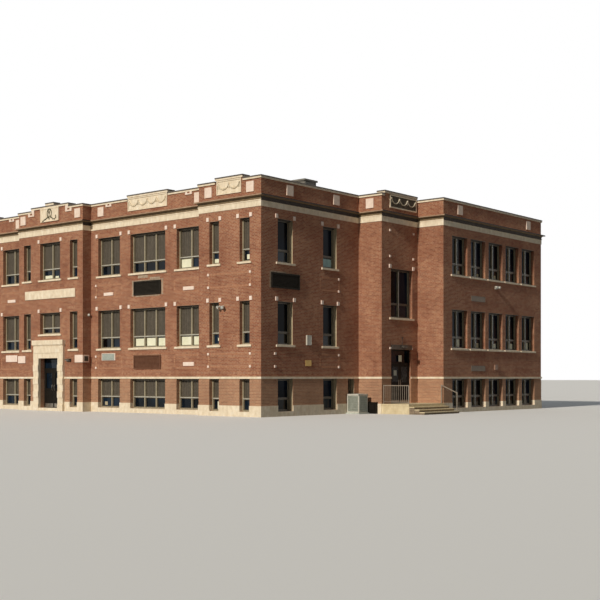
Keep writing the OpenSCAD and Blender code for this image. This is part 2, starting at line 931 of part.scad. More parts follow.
// Small square stones beside the spandrels as [run, distance along, level]
spandrel_marks = concat(
    [for (z = mark_levels, s = [-1, 1]) [CORNER, corner_c + s * corner_tablet, z]],
    [for (z = mark_levels) [RECESS, recess_margin - mark_w / 2, z]],
    [for (z = mark_levels) [SIDE, side_second_c + side_window_w / 2 + 150, z]],
    [for (k = [0, 1]) [SIDE, side_first_c - side_window_w / 2 - 200, mark_levels[k]]],
    [for (z = [9300, 7980], s = [-1, 1])
        [TOWER_SIDE, stair_window[0] + s * (stair_window_w / 2 + label_shift), z]],
    [for (s = [-1, 1]) [TOWER_SIDE, tower_c + s * (side_door_w / 2 + label_shift), door_head_z]]
);

// Longer blocks under the recess windows as [centre, width, level, height]
spandrel_bars = [
    [recess_c - recess_pitch, 750, second_sill_z - 1060, 160],
    [recess_c + recess_pitch, 760, second_sill_z - 1070, 170],
    [recess_c + recess_pitch, 760, first_sill_z - 960, 190],
    [recess_c - recess_pitch, 1090, first_sill_z - 630, 380]
];

module spandrel_stones() {
    color(stone_c) {
        for (m = spandrel_marks) {
            on_both(m[0]) wall_box(m[1], mark_w, -carved_out, carved_out, m[2], mark_w);
        }
        for (b = spandrel_bars) {
            on_both(RECESS) wall_box(b[0], b[1], -carved_out, carved_out, b[2], b[3]);
        }
        on_both(ENTRANCE)
            for (s = [-1, 1]) {
                wall_box(entrance_c + s * (entrance_c - (corner_stone_w - carved_out) / 2),
                    corner_stone_w + carved_out, -carved_out, carved_out,
                    first_sill_z - 720, corner_stone_h);
            }
        on_both(ENTRANCE_RETURN)
            wall_box(stone_joint + return_stone_w / 2, return_stone_w, -carved_out, carved_out,
                first_sill_z - 720, corner_stone_h);
    }
}

// Windows

function rail_z(w) = w[4] * (w[3] < belt_z ? ground_rail_share : rail_share);

// A window's frame as an outline, with each opening narrowed by inset on every side
module frame_outline(w, inset = 0) {
    clear = w[1] - 2 * frame_w;
    light = (clear - (w[2] - 1) * mullion_w) / w[2];
    low_h = rail_z(w) - frame_w - rail_h / 2;
    high_h = w[4] - frame_w - rail_z(w) - rail_h / 2;
    difference() {
        translate([-w[1] / 2, 0]) square([w[1], w[4]]);
        for (k = [0 : w[2] - 1]) {
            translate([-clear / 2 + k * (light + mullion_w) + inset, inset]) {
                translate([0, frame_w]) square([light - 2 * inset, low_h - 2 * inset]);
                translate([0, rail_z(w) + rail_h / 2]) square([light - 2 * inset, high_h - 2 * inset]);
            }
        }
    }
}

module window_frames(i) {
    color(frame_c)
        on_both(i)
            for (w = windows(i)) {
                translate([w[0], 0, w[3]]) {
                    upright(reveal_d, frame_d) frame_outline(w);
                    upright(reveal_d + sash_back, frame_d - sash_back) frame_outline(w, sash_w);
                }
            }
}

module front_window_frames() {
    for (i = [ENTRANCE, RECESS, CORNER]) {
        window_frames(i);
    }
}

module side_window_frames() {
    for (i = [SIDE, TOWER_SIDE, REAR_SIDE]) {
        window_frames(i);
    }
}

module back_window_frames() {
    window_frames(BACK);
}

pane_y = reveal_d + frame_d;

module window_panels() {
    color(panel_c)
        for (i = ALL_RUNS, w = windows(i)) {
            on_both(i)
                wall_box(w[0], w[1], pane_y, pane_t, w[3] + rail_z(w), w[4] - rail_z(w));
        }
}

module window_glass() {
    color(glass_c) {
        for (i = ALL_RUNS, w = windows(i)) {
            on_both(i) wall_box(w[0], w[1], pane_y, pane_t, w[3], rail_z(w));
        }
        on_both(TOWER_SIDE)
            wall_box(tower_c, side_door_w - door_frame_w, door_reveal + door_frame_d, pane_t,
                transom_z, door_head_z - transom_z - door_frame_w / 2);
    }
}

// A sill: a nose in front of the wall and a sloping top that runs back to the frame
module sill_body(w) {
    wash = 30;
    lip = 8;
    translate([0, 0, w[3]]) {
        moulding(w[0] - w[1] / 2 - sill_ear, w[1] + 2 * sill_ear)
            polygon([[0, -sill_h], [-sill_out, -sill_h], [-sill_out, -lip / 2], [0, lip]]);
        moulding(w[0] - w[1] / 2, w[1])
            polygon([[0, 0], [reveal_d, 0], [reveal_d, wash], [0, lip]]);
    }
}

module window_sills() {
    color(stone_c)
        for (i = ALL_RUNS, w = windows(i)) {
            if (w[3] > belt_z) {
                on_both(i) sill_body(w);
            }
        }
}

// Louvres in the spandrels

module louvre() {
    ring = 70;
    pitch = (louvre_h - 2 * ring) / louvre_blades;
    upright(-louvre_out, louvre_out)
        difference() {
            translate([-louvre_w / 2, 0]) square([louvre_w, louvre_h]);
            translate([-louvre_w / 2 + ring, ring]) square([louvre_w - 2 * ring, louvre_h - 2 * ring]);
        }
    wall_box(0, louvre_w - ring, -10, 10, ring / 2, louvre_h - ring);
    for (k = [0 : louvre_blades - 1]) {
        translate([-louvre_w / 2 + ring / 2, -5, ring + (k + 0.55) * pitch])
            rotate([35, 0, 0])
                translate([0, -louvre_out * 0.8, 0])
                    cube([louvre_w - ring, louvre_out * 0.8, 8]);
    }
}

module wall_louvres() {
    color(metal_c) {
        on_both(RECESS)
            for (z = [first_sill_z - 1090, second_sill_z - 1160]) {
                translate([recess_c, 0, z]) louvre();
            }
        on_both(SIDE) translate([side_first_c, 0, second_sill_z - 1220]) louvre();
    }
}

// Main entrance

module entrance_surround() {
    half = entrance_door_w / 2 + pilaster_w;
    quoin = 60;
    courses = 8;
    course_h = entrance_door_h / courses;
    color(stone_c)
        on_both(ENTRANCE)
            translate([entrance_c, 0, 0]) {
                upright(-surround_out, surround_out)
                    difference() {
                        translate([-half, 0]) square([2 * half, surround_h - surround_cap_h]);
                        translate([-entrance_door_w / 2, -eps])
                            square([entrance_door_w, entrance_door_h + eps]);
                    }
                wall_box(0, 2 * half + 120, -surround_out - 70, surround_out + 70,
                    surround_h - surround_cap_h, surround_cap_h);
                for (k = [0 : 2 : courses - 1], s = [-1, 1]) {
                    wall_box(s * (entrance_door_w / 2 + pilaster_w / 2), pilaster_w,
                        -surround_out - quoin / 2, quoin, k * course_h, course_h - 12);
                }
            }
}

module door_pair_outline(w, h, leaf_height) {
    bar = 55;
    leaf = (w - 3 * bar) / 2;
    difference() {
        translate([-w / 2, 0]) square([w, h]);
        for (s = [-1, 1]) {
            translate([s * (leaf + bar) / 2 - leaf / 2 + 110, leaf_height * 0.5])
                square([leaf - 220, leaf_height * 0.42]);
        }
        translate([-w / 2 + bar, leaf_height + bar]) square([w - 2 * bar, h - leaf_height - 2 * bar]);
    }
}

module entrance_doors() {
    y = wall_t - 140;
    color(door_c)
        on_both(ENTRANCE)
            translate([entrance_c, 0, step_h]) {
                upright(y, 60) door_pair_outline(entrance_door_w, entrance_door_h - step_h, 2130);
                wall_box(0, entrance_door_w, y + 60, pane_t, 0, entrance_door_h - step_h);
            }
}

module entrance_step() {
    color(stone_c)
        on_both(ENTRANCE) {
            wall_box(entrance_c, entrance_door_w, -surround_out, surround_out + wall_t, 0, step_h);
        }
}

// Side doors: the right pair is hung on hinges, the left pair stands shut

transom_z = landing_z + leaf_h + 2 * leaf_gap;
leaf_w = (side_door_w - 2 * door_frame_w - 3 * leaf_gap) / 2;
leaf_y = door_reveal;
hinge_y = door_reveal - hinge_r - 5;

hinge_levels = [0.12, 0.5, 0.86];
hinge_seat = 0.3;

// Half a hinge barrel on the jamb side's axis, with its flap towards +X
module hinge_half() {
    cylinder(r = hinge_r, h = hinge_len / 2 - hinge_seat / 2);
    translate([0, -2, 0]) cube([leaf_gap + 24, leaf_y - hinge_y + 2, hinge_len / 2 - hinge_seat / 2]);
}

// Fixed frame with a head, a transom bar over the leaves and the lower hinge halves
module side_door_frame() {
    clear = side_door_w - 2 * door_frame_w;
    upright(door_reveal, door_frame_d)
        difference() {
            translate([-side_door_w / 2, 0]) square([side_door_w, side_door_h]);
            translate([-clear / 2, -eps]) square([clear, transom_z - landing_z + eps]);
            translate([-clear / 2, transom_z - landing_z + door_frame_w])
                square([clear, door_head_z - transom_z - 2 * door_frame_w]);
        }
    for (s = [0, 1], z = hinge_levels) {
        mirror([s, 0, 0])
            translate([clear / 2 - leaf_gap / 2, hinge_y, leaf_gap + z * leaf_h - hinge_len / 2])
                hinge_half();
    }
}

module side_door_frames() {
    color(door_c)
        on_both(TOWER_SIDE) {
            translate([tower_c, 0, landing_z]) side_door_frame();
            wall_box(tower_c, side_door_w + 60, -hood_out, hood_out, door_head_z, hood_h);
        }
}

// One leaf from its hinge edge at 0 to leaf_w, glazed above and panelled below
module leaf_outline() {
    clear = leaf_w - 2 * door_stile;
    difference() {
        square([leaf_w, leaf_h]);
        translate([door_stile, leaf_h * 0.52]) square([clear, leaf_h * 0.48 - door_stile]);
        translate([door_stile, door_stile * 1.6]) square([clear, leaf_h * 0.48 - door_stile * 2.4]);
    }
}

module door_leaf() {
    lap = 10;
    upright(0, leaf_t) leaf_outline();
    translate([door_stile - lap, leaf_t * 0.4, door_stile])
        cube([leaf_w - 2 * (door_stile - lap), pane_t, leaf_h - 1.9 * door_stile]);
    for (z = hinge_levels) {
        translate([-leaf_gap / 2, hinge_y - leaf_y, z * leaf_h + hinge_seat / 2]) hinge_half();
    }
    translate([leaf_w - 75, -55, leaf_h * 0.42]) {
        cylinder(r = 11, h = 330);
        translate([-7, 0, 10]) cube([14, 56, 20]);
        translate([-7, 0, 300]) cube([14, 56, 20]);
    }
}

// The two leaves of a doorway, hinged at opposite jambs
module leaf_at(side) {
    translate([tower_c + side * (side_door_w / 2 - door_frame_w - leaf_gap), leaf_y,
            landing_z + leaf_gap])
        mirror([side > 0 ? 1 : 0, 0, 0])
            door_leaf();
}

module side_door_leaf_a() {
    color(door_c) on_run(TOWER_SIDE) leaf_at(-1);
}

module side_door_leaf_b() {
    color(door_c) on_run(TOWER_SIDE) leaf_at(1);
}

module left_side_doors() {
    color(door_c)
        mirror([1, 0, 0])
            on_run(TOWER_SIDE) {
                leaf_at(-1);
                leaf_at(1);
            }
}

// Landings, steps and railings

module side_landings() {
    color(concrete_c)
        mirrored() {
            translate([tower_x, tower_y, 0]) cube([landing_d, tower_len, landing_z]);
            translate([tower_x - wall_t, tower_y + door_left, 0])
                cube([wall_t, side_door_w, landing_z]);
        }
}

step_seam = 0.5;

module landing_steps() {
    rise = landing_z / (step_count + 1);
    color(concrete_c)
        mirrored()
            for (k = [1 : step_count]) {
                translate([tower_x + landing_d + (k - 1) * tread_d + step_seam, tower_y, 0])
                    cube([tread_d - step_seam, tower_len, landing_z - k * rise]);
            }
}

// A baluster railing along X, w long, seated on z = 0
module railing(w, h) {
    post = rail_post;
    bar = baluster_t;
    gaps = ceil(w / 130);
    pitch = (w - post) / gaps;
    for (x = [0, w - post]) {
        translate([x, 0, 0]) cube([post, post, h]);
    }
    translate([0, 0, h - post]) cube([w, post, post]);
    translate([0, post * 0.2, 90]) cube([w, post * 0.6, 30]);
    for (k = [1 : gaps - 1]) {
        translate([post / 2 + k * pitch - bar / 2, post / 2 - bar / 2, 100])
            cube([bar, bar, h - post - 90]);
    }
}

// A sloping handrail down the steps, on three posts
module step_rail() {
    post = rail_post;
    fall = landing_z * step_count / (step_count + 1);
    going = step_count * tread_d;
    rise = landing_z / (step_count + 1);
    top = rail_top - post;
    translate([-post * 3, 0, 0]) cube([post, post, rail_top]);
    translate([going - post * 2, 0, -fall]) cube([post, post, rail_top]);
    upright(0, post)
        polygon([
            [-post * 3, top], [-post * 2, top], [going - post * 2, top - fall],
            [going - post, top - fall], [going - post, top - fall + post],
            [going - post * 2, top - fall + post], [-post * 2, rail_top], [-post * 3, rail_top]
        ]);
}

module landing_railings() {
    inset = 60;
    color(metal_c)
        mirrored() {
            translate([tower_x + inset, tower_y + inset, landing_z])
                railing(landing_d - 2 * inset, rail_top);
            translate([tower_x + landing_d, rear_y - inset - 100, landing_z]) step_rail();
        }
}

// Fittings

module condenser_unit() {
    lip = 50;
    x = front_half + plinth_out + lip;
    y = tower_y - 340 - condenser_w;
    pad = 60;
    ribs = 14;
    pitch = (condenser_h - 200) / ribs;
    color(condenser_c)
        translate([x, y, 0]) {
            translate([-lip, -lip, 0]) cube([condenser_w + 2 * lip, condenser_w + 2 * lip, pad]);
            difference() {
                translate([0, 0, pad]) cube([condenser_w, condenser_w, condenser_h]);
                for (k = [0 : ribs - 1], a = [0 : 90 : 270]) {
                    translate([condenser_w / 2, condenser_w / 2, pad + 100 + k * pitch])
                        rotate([0, 0, a])
                            translate([-condenser_w / 2 + 70, -condenser_w / 2 - eps, 0])
                                cube([condenser_w - 140, 25, pitch * 0.5]);
                }
                translate([condenser_w / 2, condenser_w / 2, pad + condenser_h - 60])
                    cylinder(r = condenser_w * 0.4, h = 60 + eps, $fn = 48);
            }
            translate([condenser_w / 2, condenser_w / 2, pad + condenser_h - 61])
                cylinder(r = condenser_w * 0.12, h = 61, $fn = 32);
        }
}

module electrical_box() {
    color("#23262a")
        on_run(TOWER_FRONT) wall_box(tower_out * 0.685, box_w, -plinth_out - 200, 200, 0, box_h);
}

module wall_lamps() {
    corner_lamp_c = corner_c - corner_offset + narrow_w / 2 + 250;
    color("#c9c7bf") {
        on_run(CORNER) translate([corner_lamp_c, 0, first_sill_z + 1840]) twin_floodlight();
        on_run(REAR_SIDE) translate([rear_c - 20, 0, second_sill_z - 370]) twin_floodlight();
        on_run(TOWER_SIDE) translate([tower_c + 100, -hood_out, door_head_z + 60]) door_light();
        on_run(ENTRANCE) translate([entrance_c + 1690, 0, first_sill_z - 670]) door_light();
        on_run(ENTRANCE_RETURN) translate([pavilion_out * 0.7, 0, first_sill_z + 1830]) dome_light();
    }
}

// Two round lamp heads on a junction box, turned out and down
module twin_floodlight() {
    wall_box(0, lamp_head_d * 1.1, -lamp_box_d, lamp_box_d, -lamp_head_d * 0.8, lamp_head_d * 0.9);
    for (s = [-1, 1]) {
        translate([s * lamp_head_d * 0.62, -lamp_box_d * 0.8, 0])
            rotate([20, 0, s * 14])
                rotate([90, 0, 0]) {
                    cylinder(d = lamp_head_d * 0.6, h = lamp_head_len * 0.5);
                    translate([0, 0, lamp_head_len * 0.35])
                        cylinder(d1 = lamp_head_d * 0.66, d2 = lamp_head_d, h = lamp_head_len * 0.65);
                }
    }
}

// A shallow wedge-shaped lamp with its glass facing down
module door_light() {
    moulding(-door_light_w / 2, door_light_w)
        polygon([
            [0, 0], [-door_light_d * 0.4, 0], [-door_light_d, door_light_d * 0.45],
            [-door_light_d, door_light_d * 0.65], [0, door_light_d * 0.85]
        ]);
}

// A small half-round lamp
module dome_light() {
    rotate([90, 0, 0]) cylinder(r = dome_r, h = dome_r * 0.4);
    intersection() {
        translate([0, -dome_r * 0.4, 0]) sphere(r = dome_r * 0.9);
        translate([-dome_r, -2 * dome_r, -dome_r]) cube([2 * dome_r, 2 * dome_r, 2 * dome_r]);
    }
}

module wall_plates() {
    side_mid = (side_first_c + side_second_c) / 2;
    color("#d8d4c4") {
        on_run(SIDE) {
            wall_box(side_mid, meter_box_w, -meter_box_d, meter_box_d, first_sill_z + 30, meter_box_h);
            wall_box(side_mid, notice_w, -plate_t, plate_t, first_sill_z - 980, notice_h);
        }
        on_run(REAR_SIDE) {
            for (z = [second_sill_z - 1300, first_sill_z - 1190]) {
                wall_box(rear_c - rear_pitch, plaque_w, -plate_t, plate_t, z, plaque_h);
            }
            wall_box(rear_c, meter_box_w, -meter_box_d, meter_box_d, first_sill_z - 1110, notice_h);
        }
    }
}

module roof_hatch() {
    lap = 50;
    color(metal_c)
        translate([front_half - wall_t - 1370, side_len * 0.56, roof_z]) {
            cube([hatch_w, hatch_w, hatch_h]);
            translate([-lap, -lap, hatch_h]) cube([hatch_w + 2 * lap, hatch_w + 2 * lap, 70]);
        }
}

entrance_front_wall();
recess_walls();
corner_front_walls();
side_walls();
return_walls();
tower_door_piers();
tower_upper_walls();
rear_block_side_walls();
back_wall();
ground_slabs();
upper_floor_slabs();
roof_slabs();
stair_hall_floors();
plinth_stones();
belt_course();
frieze_band();
cornice_ledge();
raised_parapets();
parapet_coping();
cap_flashing();
parapet_tablets();
relief_panels();
entrance_crest();
name_tablet();
label_blocks();
spandrel_stones();
window_sills();
front_window_frames();
side_window_frames();
back_window_frames();
window_panels();
window_glass();
wall_louvres();
entrance_surround();
entrance_doors();
entrance_step();
side_door_frames();
side_door_leaf_a();
side_door_leaf_b();
left_side_doors();
side_landings();
landing_steps();
landing_railings();
condenser_unit();
electrical_box();
wall_lamps();
wall_plates();
roof_hatch();
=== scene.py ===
"""Scene for a two-storey brick school building on a raised ground storey.

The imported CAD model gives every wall, stone and frame. This script dresses those nodes in
procedural finishes and adds what a builder fixes to them: lintels, brick borders, sashes,
blinds, carving, lamps, door furniture, steps and seams. Lengths are metres unless a name ends
in _mm.
"""
from __future__ import annotations

import logging
import math
import random
from contextlib import contextmanager
from dataclasses import dataclass, replace
from enum import Enum
from typing import Callable, Iterable, Iterator, Sequence

import bpy
from mathutils import Matrix, Vector


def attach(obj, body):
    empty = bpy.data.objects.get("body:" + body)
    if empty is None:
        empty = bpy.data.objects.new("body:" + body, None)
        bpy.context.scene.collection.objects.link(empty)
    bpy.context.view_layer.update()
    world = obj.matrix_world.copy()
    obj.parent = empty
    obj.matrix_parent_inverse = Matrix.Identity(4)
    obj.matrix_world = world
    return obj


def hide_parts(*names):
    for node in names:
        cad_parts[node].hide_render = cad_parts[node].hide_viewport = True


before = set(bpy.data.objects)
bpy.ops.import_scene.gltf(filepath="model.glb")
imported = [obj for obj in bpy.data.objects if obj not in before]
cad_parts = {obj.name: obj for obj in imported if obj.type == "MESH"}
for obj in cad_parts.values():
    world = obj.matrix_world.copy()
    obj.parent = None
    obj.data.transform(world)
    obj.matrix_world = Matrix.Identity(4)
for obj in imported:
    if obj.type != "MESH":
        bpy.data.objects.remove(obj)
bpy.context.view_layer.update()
LOG = logging.getLogger("school")
MM = 0.001

# Widths of eased edges, from foil and folded sheet to weathered stone.
CRISP, FOLD, EASED, WORN, BLUNT, SOFT = 0.001, 0.002, 0.003, 0.004, 0.006, 0.008

Piece = bpy.types.Object
Tree = bpy.types.NodeTree
Socket = bpy.types.NodeSocket
Colour = tuple[float, float, float, float]
Ramp = Sequence[tuple[float, str]]
Layer = tuple[str, float | Socket, Socket | Colour]
NO_MOVE = ((0.0, 0.0),)


def linear(hex_colour: str) -> Colour:
    """Turn an sRGB hex colour into Blender's linear colour.

    Args:
        hex_colour: Colour as "#rrggbb".

    Returns:
        Linear red, green, blue and an alpha of 1.
    """
    parts = [int(hex_colour[i : i + 2], 16) / 255 for i in (1, 3, 5)]
    red, green, blue = (
        p / 12.92 if p <= 0.04045 else ((p + 0.055) / 1.055) ** 2.4 for p in parts
    )
    return red, green, blue, 1.0


def shades(*colours: str) -> Ramp:
    """Spread two or three hex colours over the range that a noise pattern fills."""
    return tuple(zip({2: (0.3, 0.7), 3: (0.3, 0.55, 0.75)}[len(colours)], colours))


class Body(Enum):
    """CAD bodies that a piece can ride on."""

    BUILDING = "building"
    LEAF_A = "door_leaf_a"
    LEAF_B = "door_leaf_b"


class Run(Enum):
    """Wall runs, walked round the right half with the building on the left hand."""

    ENTRANCE = 0
    ENTRANCE_RETURN = 1
    RECESS = 2
    CORNER_RETURN = 3
    CORNER = 4
    SIDE = 5
    TOWER_FRONT = 6
    TOWER_SIDE = 7
    REAR_FRONT = 8
    REAR_SIDE = 9
    BACK = 10

    @property
    def single(self) -> bool:
        """Whether the run crosses the middle and so has no twin on the left."""
        return self in (Run.ENTRANCE, Run.BACK)

    @property
    def turns_out(self) -> bool:
        """Whether the wall turns an outer corner at the end of the run."""
        return self in (Run.ENTRANCE, Run.CORNER_RETURN, Run.CORNER, Run.TOWER_FRONT,
                        Run.REAR_FRONT, Run.REAR_SIDE)


@dataclass(frozen=True)
class Window:
    """One window opening on a wall run."""

    centre: float
    width: float
    lights: int
    sill: float
    height: float
    rail_share: float

    @property
    def left(self) -> float:
        """Place of the nearer jamb along the wall."""
        return self.centre - self.width / 2

    @property
    def right(self) -> float:
        """Place of the farther jamb along the wall."""
        return self.centre + self.width / 2

    @property
    def head(self) -> float:
        """Level of the window head."""
        return self.sill + self.height

    @property
    def rail(self) -> float:
        """Level of the rail between the upper panel and the lower pane."""
        return self.sill + self.height * self.rail_share

    @property
    def spans(self) -> list[tuple[float, float]]:
        """Start and end of each light along the wall."""
        clear = self.width - 2 * PLAN.frame_w
        light = (clear - (self.lights - 1) * PLAN.mullion_w) / self.lights
        first = self.centre - clear / 2
        starts = [first + k * (light + PLAN.mullion_w) for k in range(self.lights)]
        return [(start, start + light) for start in starts]


@dataclass(frozen=True)
class Plan:
    """Sizes of the building, the same as in the CAD source."""

    front_half: float = 15.67
    entrance_w: float = 5.67
    corner_w: float = 4.04
    pavilion_out: float = 0.57
    side_len: float = 7.51
    tower_out: float = 1.45
    tower_len: float = 3.26
    rear_out: float = 1.60
    rear_len: float = 10.79
    wall_t: float = 0.40
    belt_z: float = 1.77
    ground_sill: float = 0.23
    plinth_h: float = 0.51
    first_sill: float = 3.37
    second_sill: float = 7.25
    window_h: float = 2.04
    recess_margin: float = 0.49
    recess_shift: float = 0.10
    double_w: float = 1.76
    triple_w: float = 2.64
    narrow_w: float = 0.64
    corner_offset: float = 0.99
    entrance_offset: float = 2.06
    entrance_window_w: float = 1.78
    side_window_w: float = 1.10
    side_first: float = 1.72
    side_second: float = 5.13
    rear_window_w: float = 1.53
    rear_pitch: float = 1.89
    back_margin: float = 2.145
    back_bays: int = 7
    tower_c: float = 1.72
    stair_shift: float = 0.06
    stair_window_w: float = 1.95
    stair_sill: float = 4.90
    stair_window_h: float = 2.51
    porch_sill: float = 4.23
    small_window_c: float = 0.65
    small_window_w: float = 0.52
    small_window_z: float = 0.70
    rail_share: float = 0.29
    ground_rail_share: float = 0.39
    reveal: float = 0.20
    frame_d: float = 0.08
    frame_w: float = 0.062
    mullion_w: float = 0.074
    rail_h: float = 0.056
    sash_w: float = 0.03
    sash_back: float = 0.022
    landing_z: float = 0.50
    landing_d: float = 1.67
    parapet_z: float = 11.05
    parapet_raise: float = 0.16
    roof_z: float = 10.25
    carved_out: float = 0.045

    @property
    def corners(self) -> list[Vector]:
        """Outer corners of the right half, in the order of the runs."""
        recess_x = self.front_half - self.corner_w
        tower_x = self.front_half + self.tower_out
        rear_x = tower_x + self.rear_out
        rear_y = self.side_len + self.tower_len
        half = self.entrance_w / 2
        depth = rear_y + self.rear_len
        points = [
            (-half, 0), (half, 0), (half, self.pavilion_out), (recess_x, self.pavilion_out),
            (recess_x, 0), (self.front_half, 0), (self.front_half, self.side_len),
            (tower_x, self.side_len), (tower_x, rear_y), (rear_x, rear_y),
            (rear_x, depth), (-rear_x, depth),
        ]
        return [Vector((x, y, 0)) for x, y in points]

    def length(self, run: Run) -> float:
        """Length of a wall run."""
        return (self.corners[run.value + 1] - self.corners[run.value]).length

    def course(self, run: Run, out: float) -> tuple[float, float]:
        """Give the start and end of a course on a run, which laps its outer corners.

        Args:
            run: The wall run.
            out: How far the course stands out from the wall.

        Returns:
            Start and end along the run.
        """
        return (-out if run is Run.ENTRANCE else 0.0,
                self.length(run) + (out if run.turns_out else 0.0))

    def frames(self, run: Run) -> list[Matrix]:
        """Give the matrices that put wall coordinates on a run and on its twin.

        Args:
            run: The wall run.

        Returns:
            Matrices from (along, into the wall, up) to the building's frame.
        """
        start = self.corners[run.value]
        along = (self.corners[run.value + 1] - start).normalized()
        turn = Matrix.Rotation(math.atan2(along.y, along.x), 4, "Z")
        right = Matrix.Translation(start) @ turn
        if run.single:
            return [right]
        return [right, Matrix.Diagonal((-1, 1, 1, 1)) @ right]

    def stack(self, centre: float, width: float, lights: int) -> list[Window]:
        """Windows of three storeys over each other.

        Args:
            centre: Distance along the run.
            width: Width of the openings.
            lights: Number of lights side by side.

        Returns:
            The ground, first and second storey windows.
        """
        ground_h = self.belt_z - self.ground_sill
        return [
            Window(centre, width, lights, self.ground_sill, ground_h, self.ground_rail_share),
            Window(centre, width, lights, self.first_sill, self.window_h, self.rail_share),
            Window(centre, width, lights, self.second_sill, self.window_h, self.rail_share),
        ]

    @property
    def recess_c(self) -> float:
        """Centre of the middle bay in a recess."""
        return self.length(Run.RECESS) / 2 + self.recess_shift

    @property
    def recess_pitch(self) -> float:
        """Spacing of the bays in a recess."""
        return (self.length(Run.RECESS) - 2 * self.recess_margin - self.double_w) / 2

    def windows(self, run: Run) -> list[Window]:
        """List the windows of one run.

        Args:
            run: The wall run.

        Returns:
            Its windows, storey by storey for each bay.
        """
        mid = self.length(run) / 2
        found: list[Window] = []
        if run is Run.ENTRANCE:
            for side in (-1, 1):
                found += self.stack(mid + side * self.entrance_offset, self.narrow_w, 1)
            porch_h = self.first_sill + self.window_h - self.porch_sill
            width = self.entrance_window_w
            found.append(Window(mid, width, 2, self.porch_sill, porch_h, self.rail_share))
            found.append(Window(mid, width, 2, self.second_sill, self.window_h, self.rail_share))
        elif run is Run.RECESS:
            for side in (-1, 1):
                found += self.stack(self.recess_c + side * self.recess_pitch, self.double_w, 2)
            found += self.stack(self.recess_c, self.triple_w, 3)
        elif run is Run.CORNER:
            for side in (-1, 1):
                found += self.stack(mid + side * self.corner_offset, self.narrow_w, 1)
        elif run is Run.SIDE:
            for centre in (self.side_first, self.side_second):
                found += self.stack(centre, self.side_window_w, 1)
            small_h = self.belt_z - self.small_window_z
            centre = self.side_len - self.small_window_c
            found.append(Window(centre, self.small_window_w, 1, self.small_window_z, small_h,
                                self.ground_rail_share))
        elif run is Run.TOWER_SIDE:
            found.append(Window(self.tower_c + self.stair_shift, self.stair_window_w, 2,
                                self.stair_sill, self.stair_window_h, self.rail_share))
        elif run is Run.REAR_SIDE:
            for k in range(-2, 3):
                found += self.stack(mid + k * self.rear_pitch, self.rear_window_w, 2)
        elif run is Run.BACK:
            pitch = (mid - self.back_margin) / (self.back_bays - 0.5)
            for k in range(self.back_bays):
                for side in (-1, 1):
                    found += self.stack(mid + side * (k + 0.5) * pitch, self.double_w, 2)
        return found


PLAN = Plan()


def add_node(tree: Tree, kind: str, inputs: dict | None = None,
             ramp: Ramp | None = None, **settings: object) -> bpy.types.Node:
    """Add one node, set its options and fill or link its sockets.

    Args:
        tree: Tree that gets the node.
        kind: Node type without the leading "ShaderNode".
        inputs: Socket name or index, and its value or the output that feeds it.
        ramp: Stops of a colour ramp as position and hex colour.
        settings: Properties of the node.

    Returns:
        The new node.
    """
    node = tree.nodes.new("ShaderNode" + kind)
    for key, value in settings.items():
        setattr(node, key, value)
    if ramp:
        stops = node.color_ramp.elements
        while len(stops) < len(ramp):
            stops.new(0.5)
        for stop, (place, colour) in zip(stops, ramp):
            stop.position = place
            stop.color = linear(colour)
    for key, value in (inputs or {}).items():
        if isinstance(value, Socket):
            tree.links.new(value, node.inputs[key])
        else:
            node.inputs[key].default_value = value
    return node


def looks_along(tree: Tree, axis: int) -> Socket:
    """Give 1 on faces that look along an axis, either way, and 0 on the others.

    Args:
        tree: Tree that gets the nodes.
        axis: Number of the axis.

    Returns:
        The mask.
    """
    normal = add_node(tree, "SeparateXYZ", {0: add_node(tree, "TexCoord").outputs["Normal"]})
    size = add_node(tree, "Math", {0: normal.outputs[axis]}, operation="ABSOLUTE")
    return add_node(tree, "Math", {0: size.outputs[0], 1: 0.7},
                    operation="GREATER_THAN").outputs[0]


def face_coordinates(tree: Tree) -> tuple[Socket, Socket, Socket]:
    """Lay a flat pattern on faces by the way each face looks.

    Args:
        tree: Tree that gets the nodes.

    Returns:
        The pattern vector (along the wall, up, 0), the height and the plain object position.
    """
    place = add_node(tree, "TexCoord")
    position = add_node(tree, "SeparateXYZ", {0: place.outputs["Object"]})
    along = add_node(tree, "Mix", {0: looks_along(tree, 0), 2: position.outputs[0],
                                   3: position.outputs[1]})
    height = add_node(tree, "Mix", {0: looks_along(tree, 2), 2: position.outputs[2],
                                    3: position.outputs[1]})
    vector = add_node(tree, "CombineXYZ", {0: along.outputs[0], 1: height.outputs[0]})
    return vector.outputs[0], position.outputs[2], place.outputs["Object"]


def mottle(tree: Tree, vector: Socket, size_mm: float, ramp: Ramp,
           stretch: tuple[float, float, float] = (1, 1, 1), detail: float = 4) -> Socket:
    """Make soft patches of colour.

    Args:
        tree: Tree that gets the nodes.
        vector: Pattern position in metres.
        size_mm: Size of a patch.
        ramp: Colours from the hollows to the peaks of the pattern.
        stretch: Factors that shorten the pattern along each axis.
        detail: Number of finer layers.

    Returns:
        The colour.
    """
    moved = add_node(tree, "Mapping", {"Vector": vector, "Scale": stretch})
    noise = add_node(tree, "TexNoise", {"Vector": moved.outputs[0], "Scale": 1 / (size_mm * MM),
                                        "Detail": detail, "Roughness": 0.6})
    return add_node(tree, "ValToRGB", {0: noise.outputs["Fac"]}, ramp=ramp).outputs[0]


def layered(tree: Tree, colour: Socket | Colour, *layers: Layer) -> Socket:
    """Lay colours over each other.

    Args:
        tree: Tree that gets the nodes.
        colour: Lowest colour.
        layers: Blend type, share and colour of each layer, from the lowest up.

    Returns:
        The colour that they make together.
    """
    for mode, share, above in layers:
        colour = add_node(tree, "Mix", {0: share, 6: colour, 7: above}, data_type="RGBA",
                          blend_type=mode).outputs[2]
    return colour


